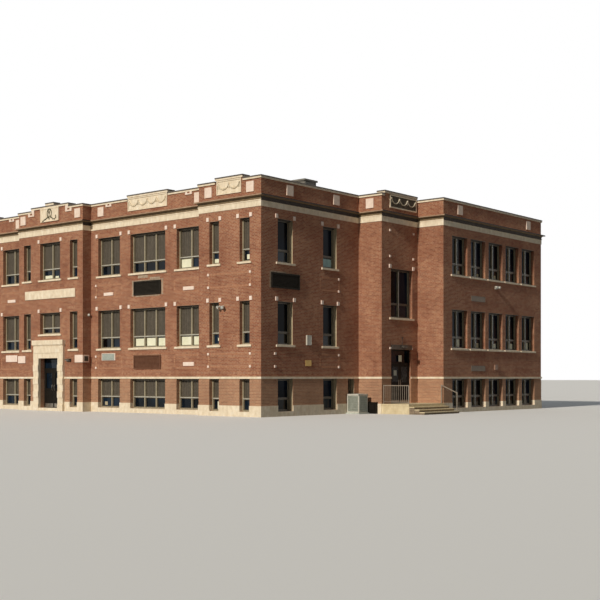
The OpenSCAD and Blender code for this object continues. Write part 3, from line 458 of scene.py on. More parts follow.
@dataclass(frozen=True)
class Finish:
    """A surface finish with its name, gloss and bump depth."""

    name: str
    roughness: float = 0.8
    bump_mm: float = 2.0
    metallic: float = 0.0
    ior: float = 1.45

    def paint(self, tree: Tree) -> tuple[Socket, Socket | None]:
        """Build the pattern.

        Args:
            tree: Tree that gets the nodes.

        Returns:
            The colour and the height of the surface, if it has one.
        """
        raise NotImplementedError

    def make(self) -> bpy.types.Material:
        """Build the material.

        Returns:
            The material, with its pattern on the main shader.
        """
        material = bpy.data.materials.new(self.name)
        material.use_nodes = True
        tree = material.node_tree
        shader = tree.nodes["Principled BSDF"]
        shader.inputs["Roughness"].default_value = self.roughness
        shader.inputs["Metallic"].default_value = self.metallic
        if not self.metallic:
            shader.inputs["IOR"].default_value = self.ior
        colour, height = self.paint(tree)
        tree.links.new(colour, shader.inputs["Base Color"])
        if height is not None:
            bump = add_node(tree, "Bump", {"Height": height, "Distance": self.bump_mm * MM,
                                           "Strength": 0.8})
            tree.links.new(bump.outputs[0], shader.inputs["Normal"])
        return material


@dataclass(frozen=True)
class BrickFinish(Finish):
    """Wire-cut face brick in common bond, with every sixth course laid as headers."""

    tones: Ramp = ((0.0, "#985b41"), (0.3, "#a66347"), (0.7, "#b17050"), (1.0, "#bd8361"))
    mortar: str = "#cbb597"
    length_mm: float = 203
    course_mm: float = 67
    joint_mm: float = 12
    header_every: int = 6
    paler_below_z: float = 1.77
    paler_below_share: float = 0.26
    paler_below_tone: str = "#dcb894"

    def bond(self, tree: Tree, vector: Socket, length_mm: float) -> bpy.types.Node:
        """Lay one bond of bricks.

        Args:
            tree: Tree that gets the node.
            vector: Pattern position in metres.
            length_mm: Length of a brick's face.

        Returns:
            The brick node, with a grey for each brick and the joints as its factor.
        """
        return add_node(tree, "TexBrick", {
            "Vector": vector, "Color1": (0, 0, 0, 1), "Color2": (1, 1, 1, 1),
            "Mortar": (0.5, 0.5, 0.5, 1), "Scale": 1.0, "Mortar Size": self.joint_mm * MM / 2,
            "Mortar Smooth": 0.2, "Brick Width": (length_mm + self.joint_mm) * MM,
            "Row Height": self.course_mm * MM, "Bias": 0.0,
        })

    def paint(self, tree: Tree) -> tuple[Socket, Socket | None]:
        """Build the courses, the brick tones, the joints and the weathering."""
        vector, height, place = face_coordinates(tree)
        stretchers = self.bond(tree, vector, self.length_mm)
        headers = self.bond(tree, vector, self.length_mm / 2 - self.joint_mm / 2)
        course = add_node(tree, "Math", {0: height, 1: self.course_mm * MM * self.header_every},
                          operation="MODULO")
        is_header = add_node(tree, "Math", {0: course.outputs[0], 1: self.course_mm * MM},
                             operation="LESS_THAN").outputs[0]
        grey = layered(tree, stretchers.outputs["Color"],
                       ("MIX", is_header, headers.outputs["Color"]))
        joint = add_node(tree, "Mix", {0: is_header, 2: stretchers.outputs["Fac"],
                                       3: headers.outputs["Fac"]}).outputs[0]
        tone = add_node(tree, "ValToRGB", {0: grey}, ramp=self.tones).outputs[0]
        # Below the belt course the brick is mixed part way to a paler tone.
        below_belt_mask = add_node(tree, "Math", {0: height, 1: self.paler_below_z}, operation="LESS_THAN")
        paler_below_amount = add_node(tree, "Math", {0: below_belt_mask.outputs[0], 1: self.paler_below_share},
                            operation="MULTIPLY").outputs[0]
        grain = mottle(tree, place, 9, shades("#8c8c8c", "#ffffff"))
        patches = mottle(tree, place, 1700, ((0.34, "#bd9f94"), (0.6, "#ffffff")))
        streaks = mottle(tree, place, 420, ((0.4, "#cdc0b8"), (0.58, "#ffffff")), (3, 3, 0.35))
        lime = mottle(tree, place, 160, ((0.62, "#000000"), (0.72, "#3c3530")), detail=6)
        faces = layered(tree, tone, ("MULTIPLY", 0.35, grain), ("MIX", joint, linear(self.mortar)),
                        ("MULTIPLY", 0.5, patches), ("MULTIPLY", 0.2, streaks),
                        ("ADD", 0.5, lime), ("MIX", paler_below_amount, linear(self.paler_below_tone)))
        raised = add_node(tree, "Math", {0: 1.0, 1: joint}, operation="SUBTRACT")
        rough = add_node(tree, "TexNoise", {"Vector": place, "Scale": 90.0, "Detail": 3.0})
        relief = add_node(tree, "Math", {0: rough.outputs["Fac"], 1: 0.25, 2: raised.outputs[0]},
                          operation="MULTIPLY_ADD")
        return faces, relief.outputs[0]


@dataclass(frozen=True)
class StoneFinish(Finish):
    """Dressed stone or cast concrete, mottled and rain-streaked, with painted shade where a finish
    asks for it.
    """

    tones: Ramp = shades("#eddabd", "#f8e8cd", "#fdf3e0")
    stain: str = "#b4a892"
    stain_share: float = 0.2
    joint_every_mm: float = 0.0
    joint_tone: str = "#a39377"
    patch_mm: float = 240
    # Painted shade: darker tones below one level, and near-black tones on faces that look along X
    # between two levels.
    painted_shade_below: Ramp = ()
    painted_shade_below_z: float = 0.0
    painted_shade: Ramp = ()
    painted_shade_z: tuple[float, float] = (0.0, 0.0)

    def paint(self, tree: Tree) -> tuple[Socket, Socket | None]:
        """Build the bed tones, the painted shade, the streaks and the joints between stones."""
        vector, height, place = face_coordinates(tree)
        colour = mottle(tree, place, self.patch_mm, self.tones, detail=6)
        # Painted shade: darker tones on every face below the level.
        if self.painted_shade_below:
            below = add_node(tree, "Math", {0: height, 1: self.painted_shade_below_z},
                             operation="LESS_THAN").outputs[0]
            brown = mottle(tree, place, self.patch_mm, self.painted_shade_below, detail=6)
            colour = layered(tree, colour, ("MIX", below, brown))
        # Painted shade: near-black tones on faces that look along X between the two levels.
        if self.painted_shade:
            low, high = self.painted_shade_z
            level = add_node(tree, "Math", {0: height, 1: (low + high) / 2, 2: (high - low) / 2},
                             operation="COMPARE")
            black = add_node(tree, "Math", {0: level.outputs[0], 1: looks_along(tree, 0)},
                             operation="MULTIPLY").outputs[0]
            shade_crust = mottle(tree, place, self.patch_mm, self.painted_shade, detail=6)
            colour = layered(tree, colour, ("MIX", black, shade_crust))
        streaks = mottle(tree, place, 300, ((0.42, self.stain), (0.62, "#ffffff")), (1.6, 1.6, 0.7))
        colour = layered(tree, colour, ("MULTIPLY", self.stain_share, streaks))
        grit = add_node(tree, "TexNoise", {"Vector": place, "Scale": 60.0, "Detail": 5.0})
        relief = grit.outputs["Fac"]
        if self.joint_every_mm:
            stones = add_node(tree, "TexBrick", {
                "Vector": vector, "Scale": 1.0, "Mortar Size": 3 * MM, "Mortar Smooth": 0.1,
                "Brick Width": self.joint_every_mm * MM, "Row Height": 40.0,
            })
            shade = add_node(tree, "Math", {0: stones.outputs["Fac"], 1: 0.6}, operation="MULTIPLY")
            colour = layered(tree, colour, ("MIX", shade.outputs[0], linear(self.joint_tone)))
            relief = add_node(tree, "Math", {0: relief, 1: stones.outputs["Fac"]},
                              operation="SUBTRACT").outputs[0]
        return colour, relief


@dataclass(frozen=True)
class PaintFinish(Finish):
    """Factory or brushed paint on metal or wood, dulled by dust."""

    tones: Ramp = shades("#9a8e74", "#ada184")
    dust: str = "#b9ad97"
    dust_share: float = 0.12

    def paint(self, tree: Tree) -> tuple[Socket, Socket | None]:
        """Build the paint tones and the dust."""
        _, _, place = face_coordinates(tree)
        colour = mottle(tree, place, 350, self.tones, (1, 1, 0.5))
        dust = mottle(tree, place, 90, ((0.45, "#000000"), (0.75, "#ffffff")), detail=6)
        colour = layered(tree, colour, ("MIX", self.dust_share, linear(self.dust)),
                         ("SOFT_LIGHT", 0.25, dust))
        peel = add_node(tree, "TexNoise", {"Vector": place, "Scale": 140.0, "Detail": 2.0})
        return colour, peel.outputs["Fac"]


@dataclass(frozen=True)
class TwoToneFinish(PaintFinish):
    """Paint that has another tone below a level."""

    low_tones: Ramp = shades("#6a4837", "#7d5946")
    split: float = 4.0

    def paint(self, tree: Tree) -> tuple[Socket, Socket | None]:
        """Build both tones and choose between them by height."""
        upper, relief = super().paint(tree)
        _, height, place = face_coordinates(tree)
        lower = mottle(tree, place, 200, self.low_tones)
        below = add_node(tree, "Math", {0: height, 1: self.split}, operation="LESS_THAN")
        return layered(tree, upper, ("MIX", below.outputs[0], lower)), relief


@dataclass(frozen=True)
class PaintedLightFinish(PaintFinish):
    """Paint with painted light: paler on the faces that look along the side walls, as where they
    catch the sun.
    """

    lit_side_tones: Ramp = shades("#a3977a", "#bdb08f")

    def paint(self, tree: Tree) -> tuple[Socket, Socket | None]:
        """Build both tones and choose between them by the way a face looks."""
        fronts, relief = super().paint(tree)
        _, _, place = face_coordinates(tree)
        # Painted light: the faces that look along Y take the paler tones.
        sides = mottle(tree, place, 200, self.lit_side_tones)
        return layered(tree, fronts, ("MIX", looks_along(tree, 1), sides)), relief


@dataclass(frozen=True)
class GlassFinish(Finish):
    """Tinted float glass before a dark room."""

    deep: str = "#050607"
    pale: str = "#182838"

    def paint(self, tree: Tree) -> tuple[Socket, Socket | None]:
        """Build the uneven dark of the room behind the pane, with a painted sky reflection in its
        paler patches.
        """
        _, _, place = face_coordinates(tree)
        # Painted reflection: the pale tone is sky reflected in the glass, mixed in large patches.
        colour = mottle(tree, place, 2600, ((0.4, self.deep), (0.6, self.pale)), detail=2)
        wave = add_node(tree, "TexNoise", {"Vector": place, "Scale": 3.0, "Detail": 0.0})
        return colour, wave.outputs["Fac"]


@dataclass(frozen=True)
class FeltFinish(Finish):
    """Mineral roofing felt in metre-wide sheets with lapped seams."""

    tones: Ramp = shades("#6f6b66", "#8c8882")
    sheet_mm: float = 1000
    lap: str = "#4d4a46"

    def paint(self, tree: Tree) -> tuple[Socket, Socket | None]:
        """Build the granules, the seams and the dried puddles."""
        _, _, place = face_coordinates(tree)
        colour = mottle(tree, place, 12, self.tones, detail=3)
        pools = mottle(tree, place, 2600, ((0.4, "#a89f90"), (0.56, "#ffffff")))
        sheets = add_node(tree, "TexBrick", {
            "Vector": place, "Scale": 1.0, "Mortar Size": 12 * MM, "Mortar Smooth": 0.6,
            "Brick Width": 10.0, "Row Height": self.sheet_mm * MM,
        })
        colour = layered(tree, colour, ("MULTIPLY", 0.5, pools),
                         ("MIX", sheets.outputs["Fac"], linear(self.lap)))
        return colour, sheets.outputs["Fac"]


class Bench:
    """A maker's bench: adds, shapes, copies and joins meshes with Blender's operators."""

    @staticmethod
    def clear() -> None:
        """Deselect everything."""
        for obj in bpy.context.selected_objects:
            obj.select_set(False)

    @staticmethod
    def pick(objects: Iterable[Piece]) -> None:
        """Select some objects and make the last one active.

        Args:
            objects: Objects to select.
        """
        Bench.clear()
        for obj in objects:
            obj.select_set(True)
            bpy.context.view_layer.objects.active = obj

    @staticmethod
    @contextmanager
    def editing(obj: Piece, test: Callable[[Vector], bool] | None = None) -> Iterator[None]:
        """Work in edit mode on a whole mesh or on some of its points.

        Args:
            obj: Object to edit.
            test: Says whether the point at a place is wanted; without it every point is.

        Yields:
            Nothing, once edit mode is on.
        """
        Bench.pick([obj])
        if test:
            for part in (*obj.data.edges, *obj.data.polygons):
                part.select = False
            for point in obj.data.vertices:
                point.select = test(point.co)
        bpy.ops.object.mode_set(mode="EDIT")
        if not test:
            bpy.ops.mesh.select_all(action="SELECT")
        yield
        bpy.ops.object.mode_set(mode="OBJECT")

    @staticmethod
    def slide(obj: Piece, test: Callable[[Vector], bool], move: Sequence[float]) -> Piece:
        """Move some points of a mesh.

        Args:
            obj: Object to change.
            test: Says whether the point at a place moves.
            move: How far they move.

        Returns:
            The same object.
        """
        with Bench.editing(obj, test):
            bpy.ops.transform.translate(value=move)
        return obj

    @staticmethod
    def settle(obj: Piece) -> Piece:
        """Move an object's place, turn and scale into its mesh.

        Args:
            obj: Object to settle.

        Returns:
            The same object, at the origin.
        """
        Bench.pick([obj])
        bpy.ops.object.transform_apply(location=True, rotation=True, scale=True)
        return obj

    @staticmethod
    def soften(obj: Piece, width: float, segments: int = 1) -> Piece:
        """Bevel every sharp edge.

        Args:
            obj: Object to bevel.
            width: Width of the bevel.
            segments: Number of facets over it.

        Returns:
            The same object.
        """
        with Bench.editing(obj):
            bpy.ops.mesh.bevel(offset=width, segments=segments, affect="EDGES")
        return obj

    @staticmethod
    def block(low: Sequence[float], high: Sequence[float], bevel: float = 0.0) -> Piece:
        """Add a block between two corners and ease its edges.

        Args:
            low: Lowest corner.
            high: Highest corner; along an axis the two may come in either order.
            bevel: Width of the eased edges.

        Returns:
            The block.
        """
        size = [abs(h - l) for l, h in zip(low, high)]
        middle = [(h + l) / 2 for l, h in zip(low, high)]
        Bench.clear()
        bpy.ops.mesh.primitive_cube_add(size=1, location=middle, scale=size)
        obj = Bench.settle(bpy.context.object)
        return Bench.soften(obj, bevel) if bevel else obj

    @staticmethod
    def rib(low: Sequence[float], high: Sequence[float], share: float) -> Piece:
        """Add an upright rib whose front is narrower than its back.

        Args:
            low: Lowest corner; the front is the face with the smaller Y.
            high: Highest corner.
            share: Width of the front as a share of the back.

        Returns:
            The rib.
        """
        obj = Bench.block(low, high)
        with Bench.editing(obj, lambda place: place.y < (low[1] + high[1]) / 2):
            bpy.ops.transform.resize(value=(share, 1, 1),
                                     center_override=((low[0] + high[0]) / 2, low[1], low[2]))
        return obj

    @staticmethod
    def row(obj: Piece, count: int, step: Sequence[float]) -> Piece:
        """Repeat a piece in a straight row.

        Args:
            obj: First piece of the row.
            count: Number of pieces.
            step: Move from one piece to the next.

        Returns:
            The whole row as one piece.
        """
        Bench.pick([obj])
        array = obj.modifiers.new("row", "ARRAY")
        array.use_relative_offset = False
        array.use_constant_offset = True
        array.constant_offset_displace = step
        array.count = count
        bpy.ops.object.modifier_apply(modifier=array.name)
        return obj

    @staticmethod
    def rod(start: Sequence[float], end: Sequence[float], radius: float, sides: int = 10,
            bevel: float = 0.0) -> Piece:
        """Add a round rod between two points.

        Args:
            start: Centre of one end.
            end: Centre of the other end.
            radius: Radius of the rod.
            sides: Number of sides.
            bevel: Width of the eased end edges.

        Returns:
            The rod.
        """
        axis = Vector(end) - Vector(start)
        turn = axis.to_track_quat("Z", "Y").to_euler()
        Bench.clear()
        bpy.ops.mesh.primitive_cylinder_add(vertices=sides, radius=radius, depth=axis.length,
                                            location=(Vector(start) + Vector(end)) / 2,
                                            rotation=turn)
        obj = Bench.settle(bpy.context.object)
        return Bench.soften(obj, bevel) if bevel else obj

    @staticmethod
    def ring(low: Sequence[float], high: Sequence[float], border: float,
             bevel: float = 0.0) -> Piece:
        """Add an upright frame that looks along Y: a plate inset, opened and thickened.

        Args:
            low: Lowest corner.
            high: Highest corner.
            border: Width of the frame's members.
            bevel: Width of the eased edges.

        Returns:
            The frame.
        """
        width, depth, height = (h - l for l, h in zip(low, high))
        Bench.clear()
        bpy.ops.mesh.primitive_plane_add(
            size=1, location=((low[0] + high[0]) / 2, high[1], (low[2] + high[2]) / 2),
            rotation=(math.pi / 2, 0, 0))
        bpy.context.object.scale = (width, height, 1)
        obj = Bench.settle(bpy.context.object)
        with Bench.editing(obj):
            bpy.ops.mesh.inset(thickness=border, depth=0)
            bpy.ops.mesh.delete(type="FACE")
            bpy.ops.mesh.select_all(action="SELECT")
            bpy.ops.mesh.extrude_region_move(TRANSFORM_OT_translate={"value": (0, -depth, 0)})
            bpy.ops.mesh.select_all(action="SELECT")
            bpy.ops.mesh.normals_make_consistent(inside=False)
        return Bench.soften(obj, bevel) if bevel else obj

    @staticmethod
    def ball(centre: Sequence[float], size: Sequence[float], detail: int = 1) -> Piece:
        """Add a rounded lump and flatten it to size.

        Args:
            centre: Centre of the lump.
            size: Half sizes along the axes.
            detail: Times that the lump is subdivided.

        Returns:
            The lump.
        """
        Bench.clear()
        bpy.ops.mesh.primitive_ico_sphere_add(subdivisions=detail, radius=1, location=centre,
                                              scale=size)
        return Bench.settle(bpy.context.object)

    @staticmethod
    def roughen(obj: Piece, cuts: int, offset: float) -> Piece:
        """Cut a piece finer and shake its points, as split stone or limp paper.

        Args:
            obj: Object to roughen.
            cuts: Cuts across each edge.
            offset: Largest move of a point.

        Returns:
            The same object.
        """
        with Bench.editing(obj):
            bpy.ops.mesh.subdivide(number_cuts=cuts)
            bpy.ops.transform.vertex_random(offset=offset, seed=random.randrange(10000))
        return obj

    @staticmethod
    def tube(points: Sequence[Sequence[float]], radius: float, smooth: bool = True,
             fine: int = 1) -> Piece:
        """Bend a round tube along some points.

        Args:
            points: Points that the tube follows.
            radius: Radius of the tube.
            smooth: Whether it runs in one smooth curve or with mitred corners.
            fine: Fineness of its section.

        Returns:
            The tube as a mesh.
        """
        path = bpy.data.curves.new("tube", "CURVE")
        path.dimensions = "3D"
        path.bevel_depth = radius
        path.bevel_resolution = fine
        path.resolution_u = 4
        path.use_fill_caps = True
        line = path.splines.new("NURBS" if smooth else "POLY")
        line.points.add(len(points) - 1)
        for knot, place in zip(line.points, points):
            knot.co = (*place, 1)
        line.use_endpoint_u = True
        line.order_u = 3
        obj = bpy.data.objects.new("tube", path)
        bpy.context.scene.collection.objects.link(obj)
        Bench.pick([obj])
        bpy.ops.object.convert(target="MESH")
        return bpy.context.object

    @staticmethod
    def turn(obj: Piece, angle: float, axis: str,
             centre: Sequence[float]) -> Piece:
        """Turn a piece about a point.

        Args:
            obj: Object to turn.
            angle: Angle in degrees.
            axis: "X", "Y" or "Z".
            centre: Point that stays where it is.

        Returns:
            The same object, with the turn in its mesh.
        """
        spin = Matrix.Rotation(math.radians(angle), 4, axis)
        place = Matrix.Translation(centre)
        obj.data.transform(place @ spin @ place.inverted())
        return obj

    @staticmethod
    def smooth(obj: Piece, angle: float) -> None:
        """Shade a piece smooth, but for its edges sharper than an angle in degrees."""
        Bench.pick([obj])
        bpy.ops.object.shade_smooth_by_angle(angle=math.radians(angle))

    @staticmethod
    def dome(radius: float, back: float, flat: float = 1.0) -> Piece:
        """Blow a lamp's glass on the axis that looks along Y.

        Args:
            radius: Radius of the glass.
            back: Place of its middle along Y.
            flat: Depth of the glass as a share of its width.

        Returns:
            The glass.
        """
        Bench.clear()
        bpy.ops.mesh.primitive_uv_sphere_add(segments=16, ring_count=8, radius=radius,
                                             location=(0, back, 0), scale=(1, flat, 1))
        return Bench.settle(bpy.context.object)

    @staticmethod
    def box_round(pattern: Piece, middle: Sequence[float]) -> list[Piece]:
        """Copy what faces one side of a square box to all four, and remove the pattern.

        Args:
            pattern: Piece on the side that looks along -Y, with the box round the origin.
            middle: Where the box stands.

        Returns:
            The four copies.
        """
        copies = [Bench.copy(pattern, Matrix.Translation(middle)
                             @ Matrix.Rotation(math.radians(angle), 4, "Z"))
                  for angle in (0, 90, 180, 270)]
        Bench.drop([pattern])
        return copies

    @staticmethod
    def copy(obj: Piece, matrix: Matrix) -> Piece:
        """Copy a piece with its own mesh.

        Args:
            obj: Piece to copy.
            matrix: Change of place that goes into the new mesh.

        Returns:
            The copy, with its faces pointing outwards.
        """
        mesh = obj.data.copy()
        mesh.transform(matrix)
        if matrix.determinant() < 0:
            mesh.flip_normals()
        twin = bpy.data.objects.new(obj.name, mesh)
        bpy.context.scene.collection.objects.link(twin)
        return twin

    @staticmethod
    def drop(objects: Iterable[Piece]) -> None:
        """Remove patterns that were only copied from.

        Args:
            objects: Objects to remove.
        """
        for obj in list(objects):
            bpy.data.objects.remove(obj)

    @staticmethod
    def join(objects: Sequence[Piece], name: str) -> Piece:
        """Join pieces into one object.

        Args:
            objects: Pieces to join.
            name: Name of the result.

        Returns:
            The joined object.
        """
        Bench.pick(objects)
        if len(objects) > 1:
            bpy.ops.object.join()
        obj = bpy.context.view_layer.objects.active
        obj.name = name
        obj.data.name = name
        return obj


@dataclass
class SubAssembly:
    """A group of pieces that is built, dressed and placed together."""

    palette: Palette
    slot: str = "brick"

    def keep(self, parts: Sequence[Piece], name: str, finish: str,
             body: Body = Body.BUILDING, slot: str = "") -> Piece:
        """Join parts into a finished piece.

        Args:
            parts: Meshes that make the piece.
            name: Name of the piece.
            finish: Name of its finish in the palette.
            body: CAD body that carries it.
            slot: Not used.

        Returns:
            The piece.
        """
        piece = Bench.join(parts, name)
        piece.data.materials.clear()
        piece.data.materials.append(self.palette[finish])
        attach(piece, body.value)
        LOG.info("%s: %d faces in %s", name, len(piece.data.polygons), finish)
        return piece

    def spread(self, pattern: Piece, run: Run, spots: Iterable[tuple[float, float]] = NO_MOVE,
               twins: bool = True) -> list[Piece]:
        """Copy a pattern to spots on a run and on its twin.

        Args:
            pattern: Piece in wall coordinates (along, into the wall, up).
            run: The wall run.
            spots: Moves along the wall and up.
            twins: Whether the left half gets its copies too.

        Returns:
            The copies.
        """
        frames = PLAN.frames(run) if twins else PLAN.frames(run)[:1]
        return [Bench.copy(pattern, matrix @ Matrix.Translation((along, 0, up)))
                for matrix in frames for along, up in spots]

    def spend(self, pattern: Piece, run: Run, spots: Iterable[tuple[float, float]] = NO_MOVE,
              twins: bool = True) -> list[Piece]:
        """Spread a pattern for the last time and remove it.

        Args:
            pattern: Piece in wall coordinates.
            run: The wall run.
            spots: Moves along the wall and up.
            twins: Whether the left half gets its copies too.

        Returns:
            The copies.
        """
        copies = self.spread(pattern, run, spots, twins)
        Bench.drop([pattern])
        return copies

    def build(self) -> None:
        """Make the pieces of this sub-assembly."""
        raise NotImplementedError


class Palette:
    """All finishes of the building, made once and found by name."""

    finishes: tuple[Finish, ...] = (
        # Fired clay: matt, each brick a little lighter or darker, joints paler than the faces.
        BrickFinish("face_brick", roughness=0.92, bump_mm=5),
        # Dressed limestone: warm cream, soft edges, faint grey rain streaks.
        StoneFinish("dressed_limestone", roughness=0.85),
        # Blocks cut from a pinker bed and washed clean by rain.
        StoneFinish("pink_white_limestone", roughness=0.85, stain_share=0.06,
                    tones=shades("#f6dcc9", "#fbe6d7", "#fff1e6")),
        # Tablets from the pinker bed, a little duller than the small blocks.
        StoneFinish("pink_tablet_stone", roughness=0.88, patch_mm=160, stain="#b9a594",
                    tones=((0.3, "#ecd2bd"), (0.5, "#f6e0ce"), (0.7, "#fbeadc")),
                    stain_share=0.12),
        # Carved leaves and fruit: greyer than the flat beds round them, partly soot and partly
        # painted shade of the carving.
        StoneFinish("carved_limestone", roughness=0.88, patch_mm=60, stain="#8f866f",
                    tones=shades("#b3a685", "#cfc09c", "#e6d7b4"),
                    stain_share=0.5),
        # The crest's laurel: black-green with soot and old lead wash; on the shaded tower panel,
        # painted shade.
        StoneFinish("soot_and_shade_carved_stone", roughness=0.9, patch_mm=50, stain="#6d6a55",
                    tones=shades("#5d5b47", "#7b765e", "#a1987b"),
                    stain_share=0.4),
        # A dark skin over the sunk field of the shaded panel: painted shade.
        StoneFinish("painted_shade_crust", roughness=0.95, patch_mm=70, stain="#4a4238",
                    tones=shades("#4b4237", "#625646", "#857760"),
                    stain_share=0.4),
        # The same stone in long courses, with upright joints about every metre; under the ledge
        # its lip is painted black on faces that look along X, as painted shade.
        StoneFinish("limestone_courses", roughness=0.85, joint_every_mm=1050,
                    painted_shade=shades("#2b2521", "#3d342d"), painted_shade_z=(10.012, 10.1)),
        # Ledge stone is tan on its washed nose; painted shade makes it brown below the nose and
        # black on faces that look along X.
        StoneFinish("ledge_stone_weathered_and_shaded", joint_every_mm=1200,
                    tones=((0.3, "#9c7f69"), (0.6, "#b39479"), (0.8, "#c4a78c")),
                    painted_shade_below=shades("#75624a", "#917c5c"), painted_shade_below_z=10.235,
                    painted_shade=shades("#2b2521", "#3d342d"), painted_shade_z=(9.0, 10.4)),
        # Cast concrete: pale buff with board marks and a dry, sandy surface.
        StoneFinish("cast_concrete", stain_share=0.55, patch_mm=500,
                    tones=((0.3, "#b7a687"), (0.6, "#cbbb9b"), (0.8, "#d6c8aa"))),
        # Mineral felt: coarse grey granules, darker lapped seams.
        FeltFinish("mineral_felt", roughness=0.95, bump_mm=3),
        # Brown coated sheet: satin, dulled by dust.
        PaintFinish("coated_cap_sheet", 0.5, 0.3, tones=shades("#3a312b", "#4c4139")),
        # Tan anodised window frame: smooth and slightly chalked.
        PaintFinish("tan_coated_frame", 0.45, 0.2, tones=shades("#9a8f74", "#afa488")),
        # Dark bronze, which vanishes beside black panes; on the side window frames these tones are
        # painted shade.
        PaintFinish("dark_bronze_frame", 0.45, 0.2, tones=shades("#3d352c", "#4d4439")),
        # Side window frames: dark bronze as painted shade, with tan returns as painted light where
        # they catch the sun.
        PaintedLightFinish("bronze_frame_painted_lit_sides", 0.45, 0.2,
                    tones=shades("#3d352c", "#4d4439")),
        # Pale coated sheet that lines the side reveals: satin, a little chalky.
        PaintFinish("pale_jamb_sheet", 0.6, 0.3, tones=shades("#b8a888", "#d0c09f")),
        # Faded blue-green blind behind one side pane.
        PaintFinish("faded_teal_blind", 0.8, 0.2, tones=shades("#9cc0c4", "#bfe0e0")),
        # Insulated panel over each pane: olive-brown sheet, chalky and flat.
        PaintFinish("olive_panel_sheet", 0.6, 0.4, tones=shades("#38322a", "#453d34"),
                    dust_share=0.06),
        # Pressed ribs of the same sheet, paler than the flat panel between them.
        PaintFinish("pressed_panel_ribs", 0.5, 0.3, tones=shades("#574e41", "#685f50"),
                    dust_share=0.1),
        # Mill-finish aluminium rail: pale grey, dulled by oxide.
        PaintFinish("dull_aluminium_rail", 0.42, 0.2, metallic=0.3,
                    tones=shades("#c2c1b6", "#d3d2c8")),
        # Float glass before dark rooms: near black, with paler blue patches that are a painted sky
        # reflection.
        GlassFinish("dark_float_glass", roughness=0.08, bump_mm=0.4, ior=1.3),
        # The tall side windows: glass with drawn dark blinds, blue-black over its whole height;
        # its navy patches are a painted sky reflection.
        GlassFinish("blue_black_glass", roughness=0.1, bump_mm=0.4, ior=1.15, deep="#0b0e13",
                    pale="#142030"),
        # Sheets of paper and roller blinds behind the glass: flat white, yellowed in places.
        PaintFinish("white_paper", 0.9, 0.2, tones=shades("#e6e6cc", "#f6f5e0"),
                    dust="#cfc6a8", dust_share=0.06),
        # Brown card and book spines stacked on the sills.
        PaintFinish("tan_card", 0.85, 0.3, tones=shades("#a89c7e", "#c9bf9f")),
        # Two enamels on the louvres: black-brown above, faded brown on the lowest pair.
        TwoToneFinish("louvre_enamel", 0.55, 0.3, tones=shades("#12100e", "#1d1916"),
                      dust_share=0.05, ior=1.15),
        # Brass or anodised plate gone matt: ochre with a soft sheen.
        PaintFinish("dull_gold_plate", 0.45, 0.2, metallic=0.4,
                    tones=shades("#b9964f", "#cfae66"), dust_share=0.05),
        # Green-grey plate, weathered almost to the colour of the brick behind it.
        PaintFinish("green_grey_plate", 0.6, 0.3, tones=shades("#715f50", "#847261")),
        # Clear prismatic lamp glass over a pale reflector.
        PaintFinish("lamp_glass", 0.15, 0.4, tones=shades("#d7d9d4", "#eceeea")),
        # Reddish-brown enamel of the box on the rear block.
        PaintFinish("red_brown_enamel", 0.55, 0.3, tones=shades("#8f6a57", "#a37d68")),
        # Worn stainless kick plates, lock plates, pulls and thresholds.
        PaintFinish("worn_stainless", 0.38, 0.2, metallic=0.8,
                    tones=shades("#77736c", "#9a958c")),
        # Dull zinc sheet of the roof hatch, which looks flat grey against the sky.
        PaintFinish("weathered_zinc_sheet", 0.5, 0.6, tones=shades("#6c6a64", "#85827a")),
        # Split stones of the steps, brown and rough.
        StoneFinish("split_brown_stone", 0.95, 0.9, stain="#5c4f42", stain_share=0.35,
                    tones=((0.25, "#85735e"), (0.6, "#9d8b74"), (0.8, "#b5a58c"))),
        # Trowelled cream concrete of the landings, bright on the sunlit side.
        StoneFinish("pale_landing_concrete", 0.9, 0.5, tones=shades("#dcc9a0", "#eadab6"),
                    stain="#a8977a", stain_share=0.2),
        # Grey-brown coated sheet over the side doors.
        PaintFinish("grey_brown_sheet", 0.5, 0.3, tones=shades("#4b3d34", "#5a4b41")),
        # Grey-green enamelled plate, chalked by the sun.
        PaintFinish("chalky_green_plate", 0.5, 0.2, tones=shades("#a3ada6", "#bac3bb")),
        # Header bricks fired paler than the rest, in the borders of the spandrels.
        StoneFinish("pale_header_brick", roughness=0.9, stain_share=0.1, patch_mm=80,
                    tones=shades("#aa7355", "#bd8b6b", "#cfa586")),
        # Lime mortar smeared round the louvres: chalky grey-tan, uneven.
        StoneFinish("smeared_lime_mortar", roughness=0.95, stain_share=0.3, patch_mm=120,
                    tones=shades("#9d8a76", "#b8a48e", "#d2c0a9")),
        # Black-brown enamel on louvres, rails and boxes.
        PaintFinish("black_brown_enamel", 0.5, 0.3, tones=shades("#241e1a", "#352c26"),
                    dust_share=0.08),
        # Rail paint weathered to a pale grey-brown.
        PaintFinish("grey_brown_rail_paint", 0.55, 0.3, tones=shades("#85796c", "#a09486")),
        # Near-black gloss door paint, worn dull.
        PaintFinish("black_door_paint", 0.42, 0.3, tones=shades("#0e0c0b", "#171412"),
                    dust_share=0.02, ior=1.15),
        # Grey-green enamel of the condenser's case.
        PaintFinish("grey_green_enamel", 0.5, 0.3, tones=shades("#c3c9bf", "#d6dbd1")),
        # Coil fins behind the condenser's guards, seen as a grey-green shadow between the wires.
        PaintFinish("grey_coil_fins", 0.6, 0.3, tones=shades("#6f7569", "#858b7e")),
        # Off-white enamel of lamps, boxes and plates.
        PaintFinish("off_white_enamel", 0.45, 0.3, tones=shades("#c9c6ba", "#dcd9cf")),
    )

    def __init__(self) -> None:
        """Start with no material made."""
        self._made: dict[str, bpy.types.Material] = {}

    def __getitem__(self, name: str) -> bpy.types.Material:
        """Give a finish's material, made on first use."""
        if name not in self._made:
            finish = next(f for f in self.finishes if f.name == name)
            self._made[name] = finish.make()
        return self._made[name]


